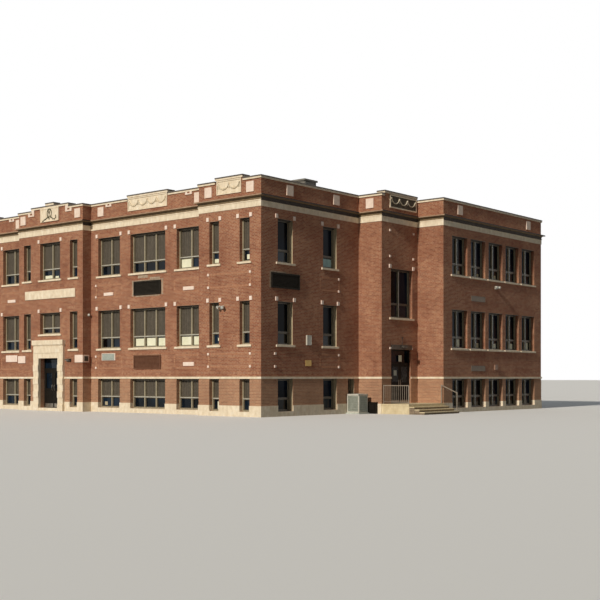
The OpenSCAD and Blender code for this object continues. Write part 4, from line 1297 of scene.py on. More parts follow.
NODE_FINISHES: dict[str, tuple[str, ...]] = {
    "face_brick": ("entrance_front_wall", "recess_walls", "corner_front_walls", "side_walls",
                   "return_walls", "tower_door_piers", "tower_upper_walls",
                   "rear_block_side_walls", "back_wall", "raised_parapets"),
    "cast_concrete": ("ground_slabs", "upper_floor_slabs", "stair_hall_floors", "landing_steps"),
    "pale_landing_concrete": ("side_landings",),
    "mineral_felt": ("roof_slabs",),
    "dressed_limestone": ("plinth_stones", "relief_panels", "entrance_crest", "name_tablet",
                          "window_sills", "entrance_surround", "entrance_step"),
    "pink_white_limestone": ("label_blocks", "spandrel_stones"),
    "pink_tablet_stone": ("parapet_tablets",),
    "limestone_courses": ("belt_course", "frieze_band", "parapet_coping"),
    "ledge_stone_weathered_and_shaded": ("cornice_ledge",),
    "coated_cap_sheet": ("cap_flashing",),
    "tan_coated_frame": ("front_window_frames", "back_window_frames"),
    "bronze_frame_painted_lit_sides": ("side_window_frames",),
    "olive_panel_sheet": ("window_panels",),
    "dark_float_glass": ("window_glass",),
    "louvre_enamel": ("wall_louvres",),
    "weathered_zinc_sheet": ("roof_hatch",),
    "grey_brown_rail_paint": ("landing_railings",),
    "black_door_paint": ("entrance_doors", "side_door_frames", "side_door_leaf_a",
                         "side_door_leaf_b", "left_side_doors", "electrical_box"),
    "grey_green_enamel": ("condenser_unit",),
    "off_white_enamel": ("wall_lamps", "wall_plates"),
}


@dataclass(frozen=True)
class Shell:
    """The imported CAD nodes, which only get their finishes here."""

    palette: Palette

    def dress(self) -> None:
        """Put a finish on every CAD node."""
        for finish, names in NODE_FINISHES.items():
            for name in names:
                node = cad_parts[name]
                node.data.materials.clear()
                node.data.materials.append(self.palette[finish])
                LOG.info("%s: %s", name, finish)


@dataclass(frozen=True)
class Stage:
    """Floor, camera and soft light round the building."""

    eye: tuple[float, float, float] = (48.951, -37.134, 1.83)
    heading: tuple[float, float] = (-0.640, 0.768)
    lens_mm: float = 64.92
    sensor_mm: float = 36.0
    lift: float = 0.1293
    far: float = 3000.0
    floor_half: float = 700.0
    floor_z: float = -0.002
    floor_seen: str = "#f1efeb"
    floor_lit: str = "#8d8a84"
    sun_power: float = 2.9
    sun_spread: float = 3.0
    sun_way: tuple[float, float, float] = (-0.07, 1.0, -0.57)
    sun_colour: tuple[float, float, float] = (1.0, 0.94, 0.84)
    fill: float = 0.13
    sky_colour: Colour = (0.74, 0.87, 1.0, 1.0)

    def camera(self) -> None:
        """Stand the camera where the photographer stood, level, with the frame shifted up."""
        data = bpy.data.cameras.new("photo_camera")
        data.lens = self.lens_mm
        data.sensor_width = self.sensor_mm
        data.shift_y = self.lift
        data.clip_end = self.far
        obj = bpy.data.objects.new("photo_camera", data)
        bpy.context.scene.collection.objects.link(obj)
        obj.location = self.eye
        obj.rotation_euler = Vector((*self.heading, 0)).to_track_quat("-Z", "Y").to_euler()
        bpy.context.scene.camera = obj

    def floor(self, palette: Palette) -> None:
        """Lay a plain pale floor.

        Args:
            palette: Not used.
        """
        Bench.clear()
        bpy.ops.mesh.primitive_plane_add(size=2 * self.floor_half, location=(0, 0, self.floor_z))
        plane = bpy.context.object
        plane.name = "floor"
        material = bpy.data.materials.new("pale_floor")
        material.use_nodes = True
        tree = material.node_tree
        shader = tree.nodes["Principled BSDF"]
        shader.inputs["Roughness"].default_value = 0.9
        seen = self.seen_ray(tree)
        colour = layered(tree, linear(self.floor_lit), ("MIX", seen, linear(self.floor_seen)))
        tree.links.new(colour, shader.inputs["Base Color"])
        plane.data.materials.append(material)

    def seen_ray(self, tree: Tree) -> Socket:
        """Tell rays that show the background, straight or in gloss and glass, from the rest.

        Args:
            tree: Tree that gets the nodes.

        Returns:
            1 for such a ray and 0 for one that only lights a surface.
        """
        path = add_node(tree, "LightPath")
        seen = add_node(tree, "Math", {0: path.outputs["Is Camera Ray"],
                                       1: path.outputs["Is Glossy Ray"]}, operation="MAXIMUM")
        seen = add_node(tree, "Math", {0: seen.outputs[0],
                                       1: path.outputs["Is Transmission Ray"]}, operation="MAXIMUM")
        return seen.outputs[0]

    def light(self) -> None:
        """Light the fronts almost head on and fill the rest from a pale sky."""
        data = bpy.data.lights.new("soft_sun", "SUN")
        data.energy = self.sun_power
        data.angle = math.radians(self.sun_spread)
        data.color = self.sun_colour
        sun = bpy.data.objects.new("soft_sun", data)
        bpy.context.scene.collection.objects.link(sun)
        sun.rotation_euler = Vector(self.sun_way).to_track_quat("-Z", "Y").to_euler()
        world = bpy.data.worlds.new("pale_sky")
        world.use_nodes = True
        bpy.context.scene.world = world
        tree = world.node_tree
        tree.nodes.clear()
        seen = self.seen_ray(tree)
        sky = add_node(tree, "Background", {"Color": self.sky_colour, "Strength": self.fill})
        white = add_node(tree, "Background", {"Color": (1, 1, 1, 1), "Strength": 1.0})
        mixed = add_node(tree, "MixShader", {0: seen, 1: sky.outputs[0], 2: white.outputs[0]})
        add_node(tree, "OutputWorld", {"Surface": mixed.outputs[0]})
        bpy.context.scene.view_settings.view_transform = "Standard"


@dataclass(frozen=True)
class Fit:
    """Where the frames, panels and panes sit in an opening."""

    face: float = PLAN.reveal
    sash_face: float = PLAN.reveal + PLAN.sash_back
    pane: float = PLAN.reveal + PLAN.frame_d


FIT = Fit()


@dataclass
class WindowWork(SubAssembly):
    """What is fixed into the openings: ribs, panes, rails, gaskets, linings and angles."""

    rib_pitch: float = 0.112
    rib_w: float = 0.040
    rib_out: float = 0.022
    rail_h: float = 0.034
    cover_w: float = 0.030
    angle_t: float = 0.012
    angle_h: float = 0.05
    lining_t: float = 0.006
    return_t: float = 0.014
    glazed_runs: tuple[Run, ...] = (Run.SIDE, Run.TOWER_SIDE, Run.REAR_SIDE)
    lined_runs: tuple[Run, ...] = (Run.SIDE,)
    kinds: tuple[tuple[str, str, str, str], ...] = (
        ("ribs", "panel_ribs", "pressed_panel_ribs", "infill_panel"),
        ("panes", "upper_panes", "blue_black_glass", "window_glass"),
        ("covers", "mullion_covers", "dull_aluminium_rail", "window_frame"),
        ("rails", "sash_rails", "dull_aluminium_rail", "window_frame"),
        ("gaskets", "sash_gaskets", "dark_bronze_frame", "window_frame"),
        ("returns", "plinth_returns", "dressed_limestone", "limestone"),
        ("linings", "jamb_linings", "pale_jamb_sheet", "window_frame"),
        ("angles", "lintel_angles", "black_brown_enamel", "dark_metal"),
    )

    def ribs(self, window: Window) -> Piece:
        """Press the upright ribs of one window's panels.

        Args:
            window: Window that gets them.

        Returns:
            The ribs, in wall coordinates.
        """
        low = window.rail + PLAN.rail_h / 2 + PLAN.sash_w + 0.01
        high = window.head - PLAN.frame_w - PLAN.sash_w - 0.01
        parts = []
        for start, end in window.spans:
            clear = end - start - 2 * PLAN.sash_w
            count = max(2, round(clear / self.rib_pitch))
            pitch = clear / count
            first = start + PLAN.sash_w + pitch / 2
            rib = Bench.rib((first - self.rib_w / 2, FIT.pane - self.rib_out, low),
                            (first + self.rib_w / 2, FIT.pane, high), 0.5)
            parts.append(Bench.row(rib, count, (pitch, 0, 0)))
        return Bench.join(parts, "ribs")

    def upper_panes(self, window: Window) -> Piece:
        """Glaze the upper lights, where a window has glass there in place of ribbed sheet.

        Args:
            window: Window that gets them.

        Returns:
            One pane with its gasket for each light, in wall coordinates.
        """
        low = window.rail + PLAN.rail_h / 2 + PLAN.sash_w
        high = window.head - PLAN.frame_w - PLAN.sash_w
        parts = []
        for start, end in window.spans:
            left, right = start + PLAN.sash_w, end - PLAN.sash_w
            parts.append(Bench.block((left, FIT.pane - 0.006, low), (right, FIT.pane, high), FOLD))
            parts.append(Bench.ring((left, FIT.pane - 0.012, low), (right, FIT.pane - 0.006, high),
                                    0.012, FOLD))
        return Bench.join(parts, "upper_panes")

    def gaskets(self, window: Window) -> Piece:
        """Press the dark gaskets over the sash round every panel and pane.

        Args:
            window: Window that gets them.

        Returns:
            The gaskets, in wall coordinates.
        """
        edge = PLAN.rail_h / 2
        levels = ((window.sill + PLAN.frame_w, window.rail - edge),
                  (window.rail + edge, window.head - PLAN.frame_w))
        parts = [Bench.ring((left, FIT.sash_face - 0.003, low), (right, FIT.sash_face, high),
                            PLAN.sash_w * 0.9)
                 for left, right in window.spans
                 for low, high in levels]
        return Bench.join(parts, "gaskets")

    def cover(self, window: Window) -> Piece:
        """Snap the pale cover strips on the mullions.

        Args:
            window: Window that gets them.

        Returns:
            The strips, in wall coordinates.
        """
        low, high = window.sill + PLAN.frame_w, window.head - PLAN.frame_w
        parts = []
        for (_, end), (start, _) in zip(window.spans, window.spans[1:]):
            middle = (start + end) / 2
            parts.append(Bench.block((middle - self.cover_w / 2, FIT.face - 0.01, low),
                                     (middle + self.cover_w / 2, FIT.face, high), WORN))
        return Bench.join(parts, "cover")

    def rail(self, window: Window) -> Piece:
        """Lay the pale rail over the lower panes.

        Args:
            window: Window that gets it.

        Returns:
            The rail with its drip, in wall coordinates.
        """
        half = window.width / 2 - PLAN.frame_w * 0.4
        left, right = window.centre - half, window.centre + half
        bar = Bench.block((left, FIT.face - 0.012, window.rail - self.rail_h / 2),
                          (right, FIT.face, window.rail + self.rail_h / 2), WORN)
        drip = Bench.block((left, FIT.face - 0.02, window.rail - self.rail_h / 2 - 0.006),
                           (right, FIT.face, window.rail - self.rail_h / 2), FOLD)
        return Bench.join([bar, drip], "rail")

    def angle(self, window: Window) -> Piece:
        """Lay the steel angle that carries the bricks over the opening.

        Args:
            window: Window that gets it.

        Returns:
            The angle, in wall coordinates.
        """
        under = window.head - self.angle_t
        flange = Bench.block((window.left, -0.004, under), (window.right, FIT.face, window.head),
                             FOLD)
        stop = Bench.block((window.left, FIT.face - 0.03, window.head - self.angle_h),
                           (window.right, FIT.face, under), EASED)
        return Bench.join([flange, stop], "angle")

    def linings(self, window: Window) -> Piece:
        """Fix the pale sheets that line both jambs of a side window.

        Args:
            window: Window that gets them.

        Returns:
            The sheets, each with its folded edge, in wall coordinates.
        """
        under, stop = window.head - self.angle_t, window.head - self.angle_h
        parts = []
        for jamb, way in ((window.left, 1), (window.right, -1)):
            inner, fold = jamb + way * self.lining_t, jamb + way * 3 * self.lining_t
            parts += [Bench.block((jamb, 0.012, window.sill), (inner, FIT.face, under), FOLD),
                      Bench.block((inner, FIT.face - 0.02, window.sill), (fold, FIT.face, stop),
                                  FOLD)]
        return Bench.join(parts, "linings")

    def returns(self, window: Window) -> Piece:
        """Turn the plinth's stone into the reveals of a ground storey window.

        Args:
            window: Window that gets the stones.

        Returns:
            The two stones, in wall coordinates.
        """
        top = window.sill + PLAN.plinth_h - PLAN.ground_sill
        parts = [Bench.block((jamb, -0.03, window.sill),
                             (jamb + way * self.return_t, FIT.face, top), EASED)
                 for jamb, way in ((window.left, 1), (window.right, -1))]
        return Bench.join(parts, "returns")

    def build(self) -> None:
        """Make one kit for each size of window and copy it to every opening."""
        found: dict[str, list[Piece]] = {kind: [] for kind, *_ in self.kinds}
        kits: dict[tuple[Window, bool, bool], dict[str, Piece]] = {}
        for run in Run:
            glazed, lined = run in self.glazed_runs, run in self.lined_runs
            for window in PLAN.windows(run):
                size = replace(window, centre=0.0, sill=0.0)
                if (size, glazed, lined) not in kits:
                    grounded = window.sill < PLAN.plinth_h
                    kits[size, glazed, lined] = self.kit(size, glazed, lined, grounded)
                for kind, pattern in kits[size, glazed, lined].items():
                    found[kind] += self.spread(pattern, run, [(window.centre, window.sill)])
        Bench.drop(pattern for kit in kits.values() for pattern in kit.values())
        for kind, name, finish, slot in self.kinds:
            self.keep(found[kind], name, finish, slot=slot)

    def kit(self, size: Window, glazed: bool, lined: bool, grounded: bool) -> dict[str, Piece]:
        """Make what one size of window needs.

        Args:
            size: The window, moved to the origin.
            glazed: Whether it has glass over its rail in place of a sheet.
            lined: Whether sheets line its jambs.
            grounded: Whether it stands in the plinth.

        Returns:
            One pattern for each kind of piece.
        """
        kit = {"angles": self.angle(size)}
        if lined:
            kit["linings"] = self.linings(size)
        elif grounded:
            kit["returns"] = self.returns(size)
        if not glazed:
            return kit | {"ribs": self.ribs(size), "rails": self.rail(size),
                          "gaskets": self.gaskets(size)}
        kit["panes"] = self.upper_panes(size)
        if size.lights > 1:
            kit["covers"] = self.cover(size)
        return kit


@dataclass
class BandedCourses(SubAssembly):
    """Ground storey brickwork: bands of two courses with a raked joint between them."""

    band_h: float = 0.112
    pitch: float = 0.134
    out: float = 0.014
    low: float = 0.512
    high: float = 1.77
    surround_half: float = 1.36
    doors_half: float = 0.92
    least: float = 0.06

    def gaps(self, run: Run) -> list[tuple[float, float]]:
        """Find the openings and stones that interrupt the bands.

        Args:
            run: The wall run.

        Returns:
            Start and end of each gap, in order.
        """
        found = [(w.left, w.right) for w in PLAN.windows(run) if w.sill < PLAN.belt_z]
        for where, centre, half in ((Run.ENTRANCE, PLAN.entrance_w / 2, self.surround_half),
                                    (Run.TOWER_SIDE, PLAN.tower_c, self.doors_half)):
            if run is where:
                found.append((centre - half, centre + half))
        return sorted(found)

    def build(self) -> None:
        """Lay the bands between the openings of every run."""
        bands = []
        count = int((self.high - self.low) / self.pitch)
        for run in Run:
            start, stop = PLAN.course(run, self.out)
            edges = [start, *(edge for gap in self.gaps(run) for edge in gap), stop]
            for left, right in zip(edges[::2], edges[1::2]):
                if right - left < self.least:
                    continue
                band = Bench.block((left, -self.out, self.low),
                                   (right, 0.0, self.low + self.band_h), WORN)
                bands += self.spend(Bench.row(band, count, (0, 0, self.pitch)), run)
        self.keep(bands, "banded_courses", "face_brick")


@dataclass
class FriezeBed(SubAssembly):
    """Bed stones between the frieze band and the ledge, dark with the ledge stone's painted shade.
    """

    slot: str = "ledge_stone"
    out: float = 0.028
    low: float = 10.055
    high: float = 10.115
    stone_w: float = 1.05
    joint: float = 0.004

    def build(self) -> None:
        """Lay the stones along every run, a thin joint between them."""
        stones = []
        for run in Run:
            start, stop = PLAN.course(run, self.out)
            count = max(1, round((stop - start) / self.stone_w))
            pitch = (stop - start) / count
            stone = Bench.block((start, -self.out, self.low),
                                (start + pitch - self.joint, 0.0, self.high))
            stones += self.spend(Bench.row(stone, count, (pitch, 0, 0)), run)
        self.keep(stones, "frieze_bed", "ledge_stone_weathered_and_shaded")


@dataclass(frozen=True)
class Border:
    """A rectangle of header bricks on a wall run."""

    run: Run
    left: float
    right: float
    low: float
    high: float


@dataclass
class SpandrelBorders(SubAssembly):
    """Rectangles of pale header bricks round the spandrels, broken by the corner stones."""

    head_w: float = 0.096
    head_h: float = 0.057
    joint: float = 0.03
    out: float = 0.006
    corner: float = 0.12
    lift: float = 0.05

    def rectangles(self) -> list[Border]:
        """List the borders.

        Returns:
            One rectangle for each spandrel field.
        """
        first, second = PLAN.first_sill, PLAN.second_sill
        middle, pitch = PLAN.recess_c, PLAN.recess_pitch
        bays = ((Run.CORNER, PLAN.corner_w / 2, 1.345, 0.0),
                (Run.SIDE, PLAN.side_second, 0.755, 0.0),
                (Run.RECESS, middle - pitch, 1.02, 0.02), (Run.RECESS, middle, 1.16, 0.02),
                (Run.RECESS, middle + pitch, 1.02, 0.02))
        return [Border(run, centre - half, centre + half, low - drop, high)
                for low, high in ((first - 1.07, first - 0.36), (second - 1.16, second - 0.44))
                for run, centre, half, drop in bays]

    def build(self) -> None:
        """Lay the four rows of each rectangle."""
        rows = []
        pitch = self.head_h + self.joint
        for box in self.rectangles():
            for across, length in ((True, box.right - box.left), (False, box.high - box.low)):
                wide, tall = (self.head_h, self.head_w) if across else (self.head_w, self.head_h)
                count = int((length - self.corner) / pitch)
                lead = (length - (count - 1) * pitch) / 2
                brick = Bench.block((-wide / 2, -self.out, -tall / 2), (wide / 2, 0.002, tall / 2))
                Bench.row(brick, count, (pitch, 0, 0) if across else (0, 0, pitch))
                levels = (box.low + self.lift, box.high - self.lift)
                spots = ([(box.left + lead, z) for z in levels] if across
                         else [(x, box.low + lead) for x in (box.left, box.right)])
                rows += self.spend(brick, box.run, spots)
        self.keep(rows, "spandrel_borders", "pale_header_brick")


class Backing(Enum):
    """What stands behind a pane, by the finish that it is made in."""

    PAPER = "white_paper"
    CARD = "tan_card"
    BLIND = "faded_teal_blind"


@dataclass(frozen=True)
class Sheet:
    """One sheet or stack behind a pane, in shares of the pane's width and height."""

    run: Run
    window: int
    light: int
    left: float
    right: float
    low: float
    high: float
    backing: Backing = Backing.PAPER


@dataclass
class PaneBackings(SubAssembly):
    """Papers, cards and book stacks that show through the lower panes."""

    slot: str = "window_glass"
    lead: float = 0.004
    thick: float = 0.003
    limp: float = 0.003
    stacks_share: float = 0.45
    back_share: float = 0.3

    def listed(self) -> list[Sheet]:
        """List what the panes show, window by window.

        Returns:
            The sheets of the right half.
        """
        card = Backing.CARD
        found = [
            Sheet(Run.RECESS, 5, 0, 0.02, 0.98, 0.0, 0.98),
            Sheet(Run.RECESS, 4, 0, 0.03, 0.97, 0.0, 0.93),
            Sheet(Run.RECESS, 4, 1, 0.03, 0.97, 0.0, 0.95),
            Sheet(Run.RECESS, 7, 0, 0.06, 0.93, 0.04, 0.9),
            Sheet(Run.RECESS, 7, 1, 0.05, 0.95, 0.03, 0.94),
            Sheet(Run.RECESS, 7, 2, 0.06, 0.93, 0.0, 0.9),
            Sheet(Run.RECESS, 0, 0, 0.2, 0.5, 0.1, 0.5, card),
            Sheet(Run.CORNER, 2, 0, 0.04, 0.96, 0.0, 0.42),
            Sheet(Run.CORNER, 5, 0, 0.3, 0.75, 0.1, 0.6),
            Sheet(Run.CORNER, 1, 0, 0.5, 0.85, 0.3, 0.62),
            Sheet(Run.CORNER, 0, 0, 0.45, 0.96, -0.1, 0.8),
            Sheet(Run.ENTRANCE, 7, 0, 0.05, 0.95, 0.0, 0.38),
            Sheet(Run.ENTRANCE, 7, 1, 0.1, 0.5, 0.0, 0.25),
            Sheet(Run.SIDE, 5, 0, 0.03, 0.97, 0.0, 0.9, Backing.BLIND),
        ]
        both = (Backing.PAPER, card)
        for bay in range(5):
            for light in (0, 1):
                start = random.uniform(0.1, 0.4)
                found.append(Sheet(Run.REAR_SIDE, 3 * bay + 1, light, start,
                                   start + random.uniform(0.25, 0.5), 0.0,
                                   random.uniform(0.55, 0.95), random.choice(both)))
                if random.random() < self.stacks_share:
                    found.append(Sheet(Run.REAR_SIDE, 3 * bay + 2, light, start, start + 0.4, 0.0,
                                       random.uniform(0.3, 0.6), card))
        for window in range(len(PLAN.windows(Run.BACK))):
            if random.random() < self.back_share:
                found.append(Sheet(Run.BACK, window, window % 2, 0.1, random.uniform(0.5, 0.9),
                                   0.0, random.uniform(0.3, 0.9), random.choice(both)))
        return found

    def build(self) -> None:
        """Stand each sheet close before its pane, a little limp and askew."""
        parts: dict[Backing, list[Piece]] = {backing: [] for backing in Backing}
        for sheet in self.listed():
            window = PLAN.windows(sheet.run)[sheet.window]
            start, end = window.spans[sheet.light]
            start, end = start + PLAN.sash_w, end - PLAN.sash_w
            floor_z = window.sill + PLAN.frame_w + PLAN.sash_w
            top_z = window.rail - PLAN.rail_h / 2 - PLAN.sash_w
            wide, tall = end - start, top_z - floor_z
            low = max(floor_z, floor_z + sheet.low * tall)
            piece = Bench.block((start + sheet.left * wide, FIT.pane - self.lead - self.thick, low),
                                (start + sheet.right * wide, FIT.pane - self.lead,
                                 floor_z + sheet.high * tall))
            Bench.roughen(piece, 3, self.limp)
            parts[sheet.backing] += self.spend(piece, sheet.run, twins=False)
        for backing, pieces in parts.items():
            self.keep(pieces, f"pane_{backing.name.lower()}s", backing.value)


@dataclass
class LouvreSurrounds(SubAssembly):
    """Mortar smeared round the louvres where the masonry was patched."""

    wide: float = 2.05
    tall: float = 0.72
    thick: float = 0.006
    ragged: float = 0.006

    def smears(self) -> list[tuple[Run, float, float, float, float]]:
        """List the smears as run, left, right, low and high."""
        centre, low = PLAN.recess_c, PLAN.second_sill - 1.16
        left, right, high = centre - self.wide / 2, centre + self.wide / 2, low + self.tall
        side_low = PLAN.second_sill - 1.22
        side_left = PLAN.side_first - self.wide / 2
        return [
            (Run.RECESS, left - 0.17, left - 0.02, low - 0.04, high + 0.05),
            (Run.RECESS, right + 0.02, right + 0.15, low - 0.02, high + 0.07),
            (Run.RECESS, left + 0.3, left + 1.05, high + 0.16, high + 0.3),
            (Run.RECESS, left + 1.2, right - 0.1, high + 0.06, high + 0.17),
            (Run.RECESS, left + 0.02, right - 0.02, high + 0.01, high + 0.05),
            (Run.RECESS, left + 0.1, right - 0.1, low - 0.08, low - 0.02),
            (Run.SIDE, side_left - 0.09, side_left - 0.02, side_low, side_low + self.tall + 0.03),
            (Run.SIDE, side_left, side_left + 1.1, side_low + self.tall + 0.01,
             side_low + self.tall + 0.06),
        ]

    def build(self) -> None:
        """Lay each smear as a thin, ragged skin on the wall."""
        skins = []
        for run, left, right, low, high in self.smears():
            skin = Bench.block((left, -self.thick, low), (right, 0.004, high))
            skins += self.spend(Bench.roughen(skin, 5, self.ragged), run)
        self.keep(skins, "louvre_mortar_smears", "smeared_lime_mortar")


@dataclass(frozen=True)
class Plate:
    """A bare plate or flat box screwed to the wall."""

    run: Run
    centre: float
    low: float
    width: float
    height: float
    depth: float
    finish: str
    name: str
    hinged: bool = False


@dataclass
class WallPlates(SubAssembly):
    """Bare plates and shut boxes, each with a raised rim and a screw in each corner."""

    slot: str = "fitting_paint"
    rim: float = 0.018

    def listed(self) -> list[Plate]:
        """List the plates and boxes."""
        mid = (PLAN.side_first + PLAN.side_second) / 2
        rear = PLAN.length(Run.REAR_SIDE) / 2
        first, second = PLAN.first_sill, PLAN.second_sill
        bay, on_stone = PLAN.recess_c - PLAN.recess_pitch, PLAN.carved_out + 0.016
        rear_bay = rear - PLAN.rear_pitch
        return [
            Plate(Run.RECESS, bay, first - 0.61, 0.98, 0.34, on_stone, "chalky_green_plate",
                  "recess_plate"),
            Plate(Run.ENTRANCE_RETURN, 0.20, first - 0.65, 0.26, 0.26, on_stone,
                  "black_brown_enamel", "return_plate"),
            Plate(Run.SIDE, mid, first - 0.98, 0.44, 0.28, 0.02, "dull_gold_plate", "side_plate"),
            Plate(Run.SIDE, mid, first + 0.03, 0.34, 0.48, 0.08, "off_white_enamel", "side_box",
                  True),
            Plate(Run.REAR_SIDE, rear_bay, second - 1.30, 1.48, 0.30, 0.02, "green_grey_plate",
                  "rear_plate_high"),
            Plate(Run.REAR_SIDE, rear_bay, first - 1.19, 1.48, 0.30, 0.02, "green_grey_plate",
                  "rear_plate_low"),
            Plate(Run.REAR_SIDE, rear, first - 1.11, 0.34, 0.28, 0.08, "red_brown_enamel",
                  "rear_box", True),
        ]

    def make(self, plate: Plate) -> Piece:
        """Make one plate with its rim and screws, or one box with its door and hinges.

        Args:
            plate: What to make.

        Returns:
            The piece, in wall coordinates.
        """
        left, right = plate.centre - plate.width / 2, plate.centre + plate.width / 2
        low, high, face = plate.low, plate.low + plate.height, -plate.depth + 0.006
        parts = [Bench.block((left, face, low), (right, 0, high), EASED),
                 Bench.ring((left, face - 0.006, low), (right, face, high), self.rim, 0.0015)]
        for x in (left + 0.04, right - 0.04):
            for z in (low + 0.04, high - 0.04):
                parts.append(Bench.rod((x, face - 0.005, z), (x, face, z), 0.011, 8, FOLD))
        if plate.hinged:
            for z in (low + 0.09, high - 0.09):
                parts.append(Bench.rod((left + 0.004, face - 0.002, z - 0.03),
                                       (left + 0.004, face - 0.002, z + 0.03), 0.006, 8))
            parts.append(Bench.block((right - 0.045, face - 0.006, (low + high) / 2 - 0.03),
                                     (right - 0.025, face, (low + high) / 2 + 0.03), EASED))
        return Bench.join(parts, "plate")

    def build(self) -> None:
        """Make each plate and fix it to the right half only."""
        for plate in self.listed():
            copies = self.spend(self.make(plate), plate.run, twins=False)
            piece = self.keep(copies, plate.name, plate.finish)
            if plate.run in (Run.SIDE, Run.REAR_SIDE):
                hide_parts("wall_plates")


@dataclass(frozen=True)
class Relief:
    """One carved panel on the parapet: its run, its middle, its width and its swags."""

    run: Run
    centre: float
    width: float
    swags: int


@dataclass
class PanelCarving(SubAssembly):
    """Leaves, fruit and ribbons carved over the plain swags of the relief panels."""

    slot: str = "limestone"
    high: float = 0.68
    drop: float = 0.02
    border: float = 0.06
    rosette_r: float = 0.048
    sag: float = 0.36
    rope_r: float = 0.028
    leaves: int = 13

    def panels(self) -> list[Relief]:
        """List the carved panels."""
        return [
            Relief(Run.RECESS, PLAN.recess_c, 2.97, 4),
            Relief(Run.CORNER, PLAN.corner_w / 2, 1.59, 2),
            Relief(Run.TOWER_SIDE, PLAN.tower_len - 0.145 - 2.42 / 2, 2.42, 3),
        ]

    def swag(self, span: float) -> Piece:
        """Carve the leaves and fruit of one swag, hung from the origin's level.

        Args:
            span: Distance between the ends of the rope.

        Returns:
            The swag's carving about its middle.
        """
        drop = self.high * self.sag
        radius = (span * span / 4 + drop * drop) / (2 * drop)
        half = math.asin(span / 2 / radius)
        face = -2 * self.rope_r
        parts = []
        for step in range(self.leaves):
            share = step / (self.leaves - 1) * 2 - 1
            angle = share * half
            x, z = radius * math.sin(angle), radius - drop - radius * math.cos(angle)
            fat = 1.15 - 0.45 * abs(share)
            for side in (-1, 1):
                leaf = Bench.ball((x, face + 0.012, z + side * 0.021 * fat),
                                  (0.036 * fat, 0.014, 0.015 * fat))
                Bench.turn(leaf, -math.degrees(angle) + side * (24 if share < 0 else -24), "Y",
                           (x, face, z))
                parts.append(leaf)
            if step % 2 == 0:
                parts.append(Bench.ball((x, face - 0.001, z), (0.013, 0.009, 0.013)))
        return Bench.join(parts, "swag")

    def knot(self) -> Piece:
        """Carve a rosette's petals and the two ribbon tails under it.

        Returns:
            The knot about its middle.
        """
        face = -2 * self.rope_r - 0.006
        petals = [Bench.turn(Bench.ball((0, face, 0.028), (0.012, 0.009, 0.019)), k * 60, "Y",
                             (0, face, 0)) for k in range(6)]
        petals.append(Bench.ball((0, face - 0.006, 0), (0.013, 0.008, 0.013)))
        tails = []
        for side in (-1, 1):
            points = [(side * 0.012, -0.034, -0.045), (side * 0.05, -0.042, -0.10),
                      (side * 0.028, -0.036, -0.155), (side * 0.062, -0.034, -0.215)]
            tails.append(Bench.tube(points, 0.0085))
        return Bench.join([*petals, *tails], "knot")

    def fillet(self, panel: Relief) -> Piece:
        """Carve the quirk bead inside a panel's border.

        Args:
            panel: Panel that gets it.

        Returns:
            The bead, in wall coordinates.
        """
        half, inner = panel.width / 2 - self.border, PLAN.carved_out * 0.4
        return Bench.ring((panel.centre - half, -inner - 0.006, self.border),
                          (panel.centre + half, -inner, self.high - self.border), 0.010, FOLD)

    def build(self) -> None:
        """Carve every panel."""
        foot = PLAN.parapet_z + PLAN.parapet_raise - self.drop - self.high
        knot_z = foot + self.high * 0.72
        knot = self.knot()
        for panel in self.panels():
            cut = []
            first = panel.centre - panel.width / 2 + self.border + self.rosette_r + 0.012
            span = 2 * (panel.centre - first) / panel.swags
            swag = self.swag(span - self.rosette_r)
            spots = [(first + (k + 0.5) * span, knot_z) for k in range(panel.swags)]
            cut += self.spend(swag, panel.run, spots)
            spots = [(first + k * span, knot_z) for k in range(panel.swags + 1)]
            cut += self.spread(knot, panel.run, spots)
            cut += self.spend(self.fillet(panel), panel.run, [(0, foot)])
            # The shaded tower panel gets dark carving and a dark skin over its field: painted
            # shade.
            shaded = panel.run is Run.TOWER_SIDE
            piece = self.keep(cut, f"{panel.run.name.lower()}_carving",
                              "soot_and_shade_carved_stone" if shaded else "carved_limestone")
            Bench.smooth(piece, 40)
            if shaded:
                self.painted_shade(panel, foot)
        Bench.drop([knot])

    def painted_shade(self, panel: Relief, foot: float) -> None:
        """Lay a dark skin over the sunk field of the shaded panel: painted shade.

        Args:
            panel: The panel.
            foot: Level of the panel's foot.
        """
        half, inner = panel.width / 2 - self.border, PLAN.carved_out * 0.4
        shade_crust = Bench.block((panel.centre - half, -inner - 0.004, self.border),
                            (panel.centre + half, -inner + 0.004, self.high - self.border))
        self.keep(self.spend(shade_crust, panel.run, [(0, foot)]), "tower_side_painted_shade", "painted_shade_crust")


